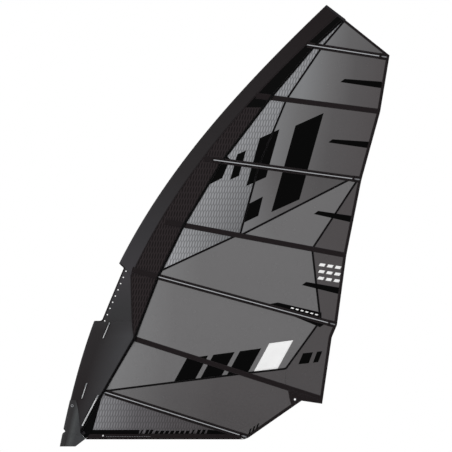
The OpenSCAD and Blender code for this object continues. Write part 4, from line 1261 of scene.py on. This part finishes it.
# Each kept CAD part: its material and the width of its rounded edges.
CAD_FINISH = {"batten_": (CARBON, 0.0004), "tensioner_housings": (HOUSING, 0.0022),
              "tensioner_screw": (STEEL, 0.0003), "camber_inducer": (CAM, 0.0008), "cam_": (ROLLER, 0.0005),
              "tack_block": (ALLOY, 0.0008), "tack_axle": (STEEL, 0.0004), "tack_sheave": (SHEAVE, 0.0004),
              "zip_slider": (SLIDER, 0.0005), "clew_ring": (RING, 0.0005)}
for name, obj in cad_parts.items():
    for start, (material, bevel) in CAD_FINISH.items():
        if name.startswith(start) and not obj.hide_render:
            obj.data.materials.clear()
            obj.data.materials.append(material)
            rounded = obj.modifiers.new("edges", "BEVEL")
            rounded.width = bevel
            rounded.segments = 2
            rounded.limit_method = "ANGLE"
            rounded.angle_limit = math.radians(40)
            break


# ---- Rubber caps over the tensioners ----
CAP_LEN, CAP_BACK = 0.050, 0.0665


def tensioner_cap(n):
    """Domed cap on the housing's outer face: a pointed front, a round rear and a slot down the middle."""
    side, d = batten_side(n), batten_dir(n)
    share = np.linspace(0, 1, 15)
    half = 0.0056 * np.clip(np.minimum(share * 3.2, (1 - share) * 9), 0, 1) ** 0.5 + 0.0006
    across = np.linspace(-1, 1, 11)
    spot = seam_end(n) + d * (batten_len(n) - CAP_BACK)
    up = np.array((-d[1], d[0]))
    flat = spot + (share * CAP_LEN)[:, None, None] * d + (half[:, None] * across[None, :])[..., None] * up
    dome = 0.0016 * (1 - across**2) - 0.0013 * hump(across, 0, 0.22)
    ends = np.clip(np.minimum(share, 1 - share) * 8, 0, 1)
    front = on_face(flat, side, HOUSING_TOP + ends[:, None] * dome[None, :])
    return shell(f"tensioner_cap_{n}", front, on_face(flat, side, HOUSING_TOP - 0.0012), CAP_GREY)


for n in range(1, 8):
    place(tensioner_cap(n))


# ---- Floor and light ----
FLOOR_HALF, FLOOR_GAP = 60.0, 0.02


def floor():
    mesh = bpy.data.meshes.new("floor")
    size, z = FLOOR_HALF, float(cad_low[2]) - FLOOR_GAP
    corners = [(-size, -size, z), (size, -size, z), (size, size, z), (-size, size, z)]
    mesh.from_pydata(corners, [], [(0, 1, 2, 3)])
    obj = bpy.data.objects.new("floor", mesh)
    bpy.context.scene.collection.objects.link(obj)
    s = Shader("floor_paint", rough=0.8, specular=0.1)
    s.colour((0.86, 0.86, 0.86, 1), 0.01, 0.5)
    mesh.materials.append(s.mat)


def light(name, place_at, target, size, power):
    data = bpy.data.lights.new(name, "AREA")
    data.size, data.energy = size, power
    obj = bpy.data.objects.new(name, data)
    obj.location = place_at
    obj.rotation_euler = (Vector(target) - Vector(place_at)).to_track_quat("-Z", "Y").to_euler()
    bpy.context.scene.collection.objects.link(obj)


def studio():
    world = bpy.data.worlds.new("studio")
    world.use_nodes = True
    world.node_tree.nodes["Background"].inputs[0].default_value = (1, 1, 1, 1)
    world.node_tree.nodes["Background"].inputs[1].default_value = 1.0
    bpy.context.scene.world = world
    light("key", (-2.5, -5.0, 5.5), (1.5, 0, 2), 3.0, 22)
    light("rim", (5.0, 4.0, 4.0), (1.5, 0, 2), 3.0, 22)
    bpy.context.scene.view_settings.view_transform = "Standard"


floor()
studio()
